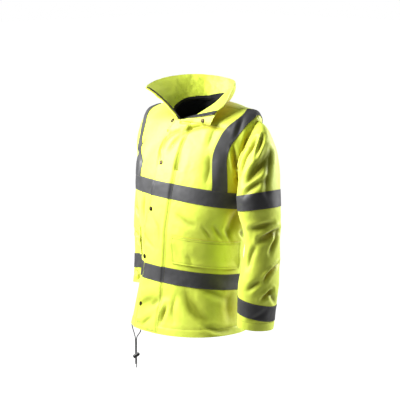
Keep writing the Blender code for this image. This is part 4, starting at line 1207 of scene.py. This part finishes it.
# ---- Storm flap, its turned-out end and the pocket flaps ---------------------------------------
# Two layers of the same cloth, edge-stitched. The storm flap is sewn to the left front and closes
# over the zip with press studs; between the studs its free edge stands a little off the front.
# piece: the line it goes round, what it lies on, its mean radius, how far its free edge lifts in
# millimetres, and the width, length and area of its flat cut
FLAPS = {
    "storm_flap": (TRUNK, ("front_left", "front_right"), 0.2, 4.0, (0.124, 0.697, 0.0709)),
    "flap_top": (NECK, (), 0.1, 0.0, (0.140, 0.033, 0.0030)),
    "pocket_flap_left": (TRUNK, ("front_left",), 0.2, 4.5, (0.254, 0.090, 0.0223)),
    "pocket_flap_right": (TRUNK, ("front_right",), 0.2, 4.5, (0.204, 0.094, 0.0189)),
}
FREE_REACH = 16 * MM  # how far in from its free edge a flap is lifted
EDGE_WAVE = (0.6, 0.55, (37, 61), 0.2)  # of the lift: mean, swing, waves in x and z, and least
MIDDLE_BAND = 4 * MM  # a border point further than this from a flap's middle line is on an edge
POCKET_END = (6 * MM, 18 * MM)  # the ends of a pocket flap: how wide, and open up to this height
V_BOTTOM = Vector((0.004, -0.1065, -0.0455))  # where the turned-out end runs out to a point
RUN_OUT = (0.93, 4 * MM)  # how far of the way there its rows go, and how far they bow out
V_FRONT = Vector((0.4, -1.0, 0.3))  # the way that its outer side faces
GROOVE = (0.9 * MM, 2.6 * MM, 6.5 * MM)  # the edge stitching's: depth, half width, how far in
GROOVE_SHADE = 2.1 * MM  # painted shade: the groove is drawn this much deeper in the cloth's colour, so more shade is painted along it
OVER_ZIP = (14 * MM, 0.2)  # over this width from its seam, from this share on, it rises over the zip
SEWN_IN = (11 * MM, 0.7)  # over this width, in this profile, it comes down to its seam
FLAP_GAP, TEETH_GAP, SEAM_GAP = 0.6 * MM, 1.4 * MM, 0.4 * MM  # over the cloth, the zip and at its seam


def run_to_point(made, target, steps):
    """Draws the skin's border nearest to a point out to it, in rows that close up towards it."""
    shape = bmesh.new()
    shape.from_mesh(made.data)
    ends = [v for v in shape.verts if len(v.link_edges) == 2]
    start, goal = sorted(ends, key=lambda v: (v.co - target).length)[:2]
    for edge in start.link_edges:
        chain, at, came = [start], edge.other_vert(start), edge
        while at not in ends:
            chain.append(at)
            came = next(e for e in at.link_edges if e.is_boundary and e is not came)
            at = came.other_vert(at)
        if at is goal:
            break
    rows = [[*chain, goal]]
    for k in range(1, steps + 1):
        share = k / steps * RUN_OUT[0]
        bow = Vector((0, -1, 0.2)) * math.sin(math.pi * k / steps) * RUN_OUT[1]
        rows.append([shape.verts.new(v.co.lerp(target, share) + bow) for v in rows[0]])
    for low, high in zip(rows, rows[1:]):
        for a, b, c, d in zip(low, low[1:], high[1:], high):
            shape.faces.new((a, b, c, d))
    bmesh.ops.recalc_face_normals(shape, faces=shape.faces)
    if sum(f.calc_area() * f.normal.dot(V_FRONT) for f in shape.faces) < 0:
        bmesh.ops.reverse_faces(shape, faces=shape.faces)
    shape.to_mesh(made.data)
    shape.free()


for name, (line, under, radius, lifted, (width, length, area)) in FLAPS.items():
    made, depth = skin_of(name, line, name + "_cloth")
    if name == "flap_top":
        run_to_point(made, V_BOTTOM, 6)
    subdivide(made, ROUNDS)
    places, normals = points_of(made), normals_of(made)
    heights = crease_height(places, normals) + rumple(places) + snap_height(places)
    grooves = np.zeros(len(places))
    if lifted:
        # the seam side keeps down: the storm flap is free on the wearer's right, a pocket flap below
        across, along = (0, 2) if name == "storm_flap" else (2, 0)
        marks = np.linspace(places[:, along].min(), places[:, along].max(), 12)
        nearest = np.abs(places[:, along][:, None] - marks).argmin(axis=1)
        middles = [places[nearest == k, across].mean() for k in range(12)]
        rim = places[border_of(made)[0]]
        level = rim[:, across] - np.interp(rim[:, along], marks, middles)
        open_side = level < -MIDDLE_BAND
        if name != "storm_flap":
            side = rim[:, 0]
            ends = (side < side.min() + POCKET_END[0]) | (side > side.max() - POCKET_END[0])
            open_side |= ends & (level < POCKET_END[1])
        edge, whole_edge = tree_of(rim[open_side]), tree_of(rim)
        mean, swing, (waves_x, waves_z), least = EDGE_WAVE
        for k, spot in enumerate(places):
            away = edge.find(spot)[2]
            wave = mean + swing * math.sin(spot[2] * waves_z + spot[0] * waves_x)
            heights[k] += lifted * MM * max(least, wave) * math.exp(-((away / FREE_REACH) ** 2))
            grooves[k] = math.exp(-(((whole_edge.find(spot)[2] - GROOVE[2]) / GROOVE[1]) ** 2))
        heights -= GROOVE[0] * grooves
    places = places + normals * heights[:, None]
    if under:
        places = keep_clear(places, under, depth + FLAP_GAP)
    if name == "storm_flap":
        raised = keep_clear(places, ("zip",), depth + TEETH_GAP)
        stitched = tree_of(places[border_of(made)[0]][level > MIDDLE_BAND])
        away = np.array([stitched.find(spot)[2] for spot in places])
        places += (raised - places) * np.clip(away / OVER_ZIP[0] - OVER_ZIP[1], 0, 1)[:, None]
        sunk = keep_clear(places, under, SEAM_GAP, drawn_in=True)
        places += (sunk - places) * (np.clip(1 - away / SEWN_IN[0], 0, 1) ** SEWN_IN[1])[:, None]
    put_points(made, places)
    # The recorded crease depth, which paints shade into the colour, is made deeper along the stitched groove.
    mark_cloth(made, line, radius, heights - GROOVE_SHADE * grooves)
    keep_skin(name, made)
    thicken(made, depth, hi_vis, hi_vis)
    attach(made, "root")
    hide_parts(name)

# ---- Reflective tapes --------------------------------------------------------------------------
# Woven tape, 50 mm wide, faced with glass beads: dark warm grey until light comes straight back.
# Each length is laid on its panel and sewn down along both edges.
TAPE_GAP = 0.35 * MM
TAPES = {  # the line it goes round, what it lies on, and the length that shows
    "tape_waist_left": (TRUNK, ("front_left",), 0.293),
    "tape_waist_right": (TRUNK, ("front_right",), 0.281),
    "tape_waist_back": (TRUNK, ("back",), 0.412),
    "tape_waist_flap": (TRUNK, ("storm_flap",), 0.1125),
    "tape_chest_left": (TRUNK, ("front_left",), 0.301),
    "tape_chest_right": (TRUNK, ("front_right",), 0.317),
    "tape_chest_back": (TRUNK, ("back",), 0.503),
    "tape_chest_flap": (TRUNK, ("storm_flap",), 0.090),
    "brace_front_left": (TRUNK, ("front_left",), 0.263),
    "brace_front_right": (TRUNK, ("front_right",), 0.227),
    "brace_back_left": (TRUNK, ("back",), 0.257),
    "brace_back_right": (TRUNK, ("back",), 0.231),
    "tape_sleeve_left_upper": (ARM_LEFT, ("sleeve_left",), 0.446),
    "tape_sleeve_left_lower": (ARM_LEFT, ("sleeve_left",), 0.397),
    "tape_sleeve_right_upper": (ARM_RIGHT, ("sleeve_right",), 0.446),
    "tape_sleeve_right_lower": (ARM_RIGHT, ("sleeve_right",), 0.389),
}

# Glass beads in a grey binder: dull grey with a faint cloudy sheen, where handling has rubbed it.
bead_finish, tree = new_finish("glass_bead_reflective_tape")
place = add_node(tree, "TexCoord", {}).outputs["Object"]
beads = add_node(tree, "TexNoise", {"Vector": place, "Scale": 1400.0, "Detail": 2.0})
smears = add_node(tree, "TexNoise", {"Vector": place, "Scale": 26.0, "Detail": 5.0})
grey = add_node(
    tree, "ValToRGB", {"Fac": smears.outputs["Fac"]}, ramp=((0.3, "3a3a3b"), (0.72, "464648"))
)
bump = add_node(tree, "Bump", {"Height": beads.outputs["Fac"], "Strength": 0.3, "Distance": 0.0002})
gloss = {"Roughness": 0.5, "Specular IOR Level": 0.4}
shade(tree, {"Base Color": grey.outputs["Color"], **gloss, "Normal": bump.outputs["Normal"]})

for name, (line, under, length) in TAPES.items():
    made, depth = skin_of(name, line, name + "_beads")
    subdivide(made, ROUNDS)
    places, normals = points_of(made), normals_of(made)
    places = places + normals * worn_height(places, normals)[:, None]
    places = keep_clear(places, under, depth + TAPE_GAP, drawn_in=name.endswith("flap"))
    put_points(made, places)
    keep_skin(name, made)
    thicken(made, depth, bead_finish)
    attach(made, "root")
    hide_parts(name)

# ---- Topstitching ------------------------------------------------------------------------------
# Lock stitches of polyester thread, 0.6 mm thick and 4 mm apart, sunk at both ends: on the cloth yellow,
# darkened to olive as painted shade, and grey on the tapes. One stitch is modelled, and copied along lines
# set in from the edges.
STITCH = (3.3 * MM, 0.34 * MM)  # length and radius
STITCH_PITCH = 4.0 * MM
STITCH_SINK = 0.1 * MM  # how high its middle stands
STITCH_SWAY = 0.05  # radians, as a sewer's hand leaves them
LINE_STEP = 1.2 * MM  # points of a line nearer together than this are left out
# how far in from an edge each line runs
FLAP_LINES = (1.8 * MM, 6.5 * MM)
POCKET_SEAM_LINES = (2.0 * MM, 8.5 * MM)
COLLAR_LINE, FRONT_LINE, TAPE_LINE = 6.0 * MM, 5.0 * MM, 3.0 * MM
SEWN_FLOOR = -0.24  # only seams of the panels above this height are topstitched
SHORT_SEAM = 60 * MM  # and none shorter than this

bpy.ops.object.select_all(action="DESELECT")
bpy.ops.mesh.primitive_cylinder_add(vertices=6, radius=STITCH[1], depth=STITCH[0] * 0.6)
stitch = bpy.context.object
stitch.data.transform(Matrix.Rotation(math.pi / 2, 4, "Y"))
for sign in (1, -1):
    bpy.ops.object.mode_set(mode="EDIT")
    pick(stitch, "faces", lambda face: face.normal.x * sign > 0.9)
    bpy.ops.mesh.extrude_region_move(
        TRANSFORM_OT_translate={"value": (sign * STITCH[0] * 0.2, 0, -STITCH[1] * 0.9)}
    )
    bpy.ops.transform.resize(value=(1, 0.55, 0.55))
    bpy.ops.object.mode_set(mode="OBJECT")
stitch_shape = taken_apart(stitch)


def inset_line(name, run, inset, over):
    """The line on a finished skin that runs along its border, set in from it."""
    points, _, normals = skins[name]
    tree = over[0]
    line, facing = points[run], normals[run]
    ahead = np.gradient(line, axis=0)
    ahead /= np.linalg.norm(ahead, axis=1, keepdims=True) + 1e-12
    inward = np.cross(facing, ahead)
    middle = len(run) // 2
    gaps = [tree.find_nearest(line[middle] + sign * inward[middle] * 3 * MM)[3] for sign in (1, -1)]
    inward *= 1 if gaps[0] < gaps[1] else -1
    out = []
    for p, way in zip(line, inward):
        here = Vector(p)
        for _ in range(3):
            here = tree.find_nearest(here + Vector(way) * inset / 3)[0]
        out.append(here)
    return np.array(out)


def sew(name, lines, finish):
    """One mesh of all the stitches along the lines, each at its pitch, turned to lie on the skin."""
    spots = []
    draw = np.random.default_rng(5)
    for skin_name, run, inset in lines:
        over = tree_over([skin_name])
        line = inset_line(skin_name, run, inset, over)
        keep = [0]
        for k in range(1, len(line)):
            if np.linalg.norm(line[k] - line[keep[-1]]) > LINE_STEP:
                keep.append(k)
        if len(keep) < 4:
            continue
        route = smooth_route(line[keep], STITCH_PITCH)
        for place, way in zip(route[1:-1], np.gradient(route, axis=0)[1:-1]):
            found, up = nearest_on(over, place)
            along = Matrix.Rotation(draw.normal(0, STITCH_SWAY), 3, up) @ laid_along(way, up)
            spots.append((found + up * STITCH_SINK, np.array([along, up.cross(along), up])))
    made = copied_to(name, stitch_shape, spots)
    made.data.shade_smooth()
    made.data.materials.append(finish)
    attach(made, "root")


# Spun polyester thread: matt, its two plies showing as a fine slanting grain.
def thread(name, light, dark):
    finish, tree = new_finish(name)
    place = add_node(tree, "TexCoord", {}).outputs["Object"]
    plies = add_node(tree, "TexNoise", {"Vector": place, "Scale": 1600.0, "Detail": 2.0}).outputs["Fac"]
    tone = add_node(tree, "ValToRGB", {"Fac": plies}, ramp=((0, dark), (1, light)))
    twist = add_node(tree, "Bump", {"Height": plies, "Strength": 0.5, "Distance": 0.0002})
    shade(tree, {"Base Color": tone.outputs["Color"], "Roughness": 0.7, "Normal": twist.outputs["Normal"]})
    return finish


cloth_lines = []
for name in FLAPS:
    ordered = sorted(runs[name], key=lambda run: height_of(name, run))
    for run in ordered[:-1] if name != "flap_top" else ordered:
        if length_of(name, run) > 25 * MM:
            cloth_lines.append((name, run, FLAP_LINES[1]))
    if name.startswith("pocket"):
        cloth_lines += [(name, ordered[-1], inset) for inset in POCKET_SEAM_LINES]
    if name == "storm_flap":
        cloth_lines += [(name, run, FLAP_LINES[0]) for run in ordered[:-1] if length_of(name, run) > 0.3]
for name in shell:
    lowest = min(height_of(name, run) for run in runs[name])
    for run in runs[name]:
        level, long_enough = height_of(name, run), length_of(name, run) > SHORT_SEAM
        if name == "collar":
            if level > lowest + 5 * MM and long_enough:
                cloth_lines.append((name, run, COLLAR_LINE))
        elif level < lowest + 2 * MM:
            cloth_lines.append((name, run, HEM_TURN))
        elif not name.startswith("sleeve") and level > SEWN_FLOOR and long_enough:
            cloth_lines.append((name, run, FRONT_LINE))
tape_lines = [
    (name, run, TAPE_LINE)
    for name in TAPES
    for run in sorted(runs[name], key=lambda run: -length_of(name, run))[:2]
]
# Painted shade: the yellow thread is coloured dark olive so that each stitched line shows as a shaded groove.
olive_shade_thread = thread("yellow_polyester_thread_painted_olive_shade", "a2aa34", "6f7620")
grey_thread = thread("grey_spun_polyester_thread", "77787a", "4c4d4f")
sew("topstitching_cloth", cloth_lines, olive_shade_thread)
sew("topstitching_tape", tape_lines, grey_thread)

# ---- Press studs -------------------------------------------------------------------------------
# Ring caps of pressed brass, 14 mm across, blackened and then worn bright on the dome: riveted
# through the flap, they pull the cloth in round them.
CAP = 7.5 * MM  # radius
CAP_RINGS = [  # radius as a share of the cap's, and the step up from the ring before, in mm
    (0.86, 0.0), (0.80, -0.45), (0.70, 0.0), (0.62, 1.0), (0.45, 0.35), (0.25, 0.18),
]
CAP_RIM = (1.5 * MM, 0.5 * MM)  # thickness and rounding
CAP_SINK = 0.3 * MM  # into the cloth


# Pressed brass: dark patina left in the groove and specks on the dome, rubbed brighter elsewhere.
def brass(name, worn, dark, roughness):
    finish, tree = new_finish(name)
    place = add_node(tree, "TexCoord", {}).outputs["Object"]
    specks = add_node(tree, "TexNoise", {"Vector": place, "Scale": 700.0, "Detail": 5.0}).outputs["Fac"]
    tone = add_node(tree, "ValToRGB", {"Fac": specks}, ramp=((0.35, dark), (0.65, worn)))
    ends = {"To Min": roughness + 0.15, "To Max": roughness}
    gloss = add_node(tree, "MapRange", {"Value": specks, **ends}).outputs["Result"]
    dents = add_node(tree, "Bump", {"Height": specks, "Strength": 0.1, "Distance": 0.0002})
    metal = {"Base Color": tone.outputs["Color"], "Metallic": 1.0, "Roughness": gloss}
    shade(tree, {**metal, "Normal": dents.outputs["Normal"]})
    return finish


patina = brass("blackened_brass_rim", "3c3424", "15120d", 0.45)
worn_brass = brass("worn_brass_dome", "5e523a", "2e271b", 0.42)

bpy.ops.object.select_all(action="DESELECT")
bpy.ops.mesh.primitive_cylinder_add(vertices=40, radius=CAP, depth=CAP_RIM[0])
cap = bpy.context.object
bpy.ops.object.mode_set(mode="EDIT")
pick(cap, "edges", lambda edge: all(v.co.z > 0 for v in edge.verts))
bpy.ops.mesh.bevel(offset=CAP_RIM[1], segments=3, affect="EDGES")
last = 1.0 - CAP_RIM[1] / CAP
for share, step in CAP_RINGS:
    pick(cap, "faces", lambda face: len(face.verts) == 40 and face.normal.z > 0.9 and face.verts[0].co.z > 0)
    bpy.ops.mesh.extrude_region_move(TRANSFORM_OT_translate={"value": (0, 0, step * MM)})
    bpy.ops.transform.resize(value=(share / last, share / last, 1))
    last = share
bpy.ops.object.mode_set(mode="OBJECT")
cap.data.transform(Matrix.Translation((0, 0, CAP_RIM[0] / 2)))
cap.data.materials.append(patina)
cap.data.materials.append(worn_brass)
for face in cap.data.polygons:
    reach = Vector(face.center[:2]).length / CAP
    face.material_index = 1 if reach < 0.64 or 0.84 < reach and face.normal.z > 0.3 else 0
over = tree_over([*shell, *FLAPS])
for node_name, centre in SNAP_CENTRES.items():
    places = np.array([v.co for v in frame["nodes"][node_name].data.vertices])
    spread = places - places.mean(axis=0)
    axis = Vector(np.linalg.svd(spread, full_matrices=False)[2][2])
    found, up = nearest_on(over, centre)
    axis = axis if axis.dot(up) > 0 else -axis
    foot = over[0].ray_cast(centre + axis * 15 * MM, -axis, 0.04)[0] or found
    turned = axis.to_track_quat("Z", "Y").to_matrix().to_4x4()
    mesh = cap.data.copy()
    mesh.transform(Matrix.Translation(foot - axis * CAP_SINK) @ turned)
    stud = put_in_scene(node_name + "_cap", mesh)
    select_only(stud)
    mesh.shade_smooth()
    bpy.ops.object.shade_smooth_by_angle(angle=math.radians(30))
    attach(stud, "root")
    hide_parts(node_name)
bpy.data.objects.remove(cap)

# ---- Floor and light ---------------------------------------------------------------------------
# A white studio floor well below the hem, bright enough to the lens to show as white. A large soft
# key stands close in front of the chest, so the skirt gets less of it; a rim light stands behind
# the wearer's left arm.
FLOOR_HEIGHT = -1.6
SOFT_LIGHT = 0.19  # of the white tent all round
CHEST = Vector((0.0, -0.05, -0.20))
LIGHTS = [  # azimuth, elevation, distance, size, watts
    ("key", -32, 27, 1.3, 0.8, 59),
    ("rim", 158, 13, 2.3, 1.0, 80),
]

bpy.ops.object.select_all(action="DESELECT")
bpy.ops.mesh.primitive_plane_add(size=60.0, location=(0, 0, FLOOR_HEIGHT))
floor = bpy.context.object
floor.name = "studio_floor"
settle(floor)
# Matt white paint, lit through so that it shows white.
floor_finish, tree = new_finish("painted_studio_floor")
to_lens = add_node(tree, "LightPath", {}).outputs["Is Camera Ray"]
glow = add_node(tree, "MapRange", {"Value": to_lens, "To Min": 0.0, "To Max": 0.9})
paint = {"Base Color": linear_colour("d8d8d8"), "Roughness": 0.9, "Emission Color": linear_colour("ffffff")}
shade(tree, {**paint, "Emission Strength": glow.outputs["Result"]})
floor.data.materials.append(floor_finish)

world = bpy.data.worlds.new("studio")
bpy.context.scene.world = world
world.use_nodes = True
tree = world.node_tree
tree.nodes.clear()
to_lens = add_node(tree, "LightPath", {}).outputs["Is Camera Ray"]
glow = add_node(tree, "MapRange", {"Value": to_lens, "To Min": SOFT_LIGHT, "To Max": 1.0})
white = {"Color": linear_colour("ffffff"), "Strength": glow.outputs["Result"]}
sky = add_node(tree, "Background", white)
add_node(tree, "OutputWorld", {"Surface": sky.outputs["Background"]})

for name, azimuth, elevation, distance, size, watts in LIGHTS:
    lamp = bpy.data.lights.new(name, "AREA")
    lamp.size, lamp.energy = size, watts
    light = put_in_scene(name, lamp)
    a, e = math.radians(azimuth), math.radians(elevation)
    way = Vector((math.sin(a) * math.cos(e), -math.cos(a) * math.cos(e), math.sin(e)))
    light.location = CHEST + way * distance
    light.rotation_mode = "QUATERNION"
    light.rotation_quaternion = (-way).to_track_quat("-Z", "Y")
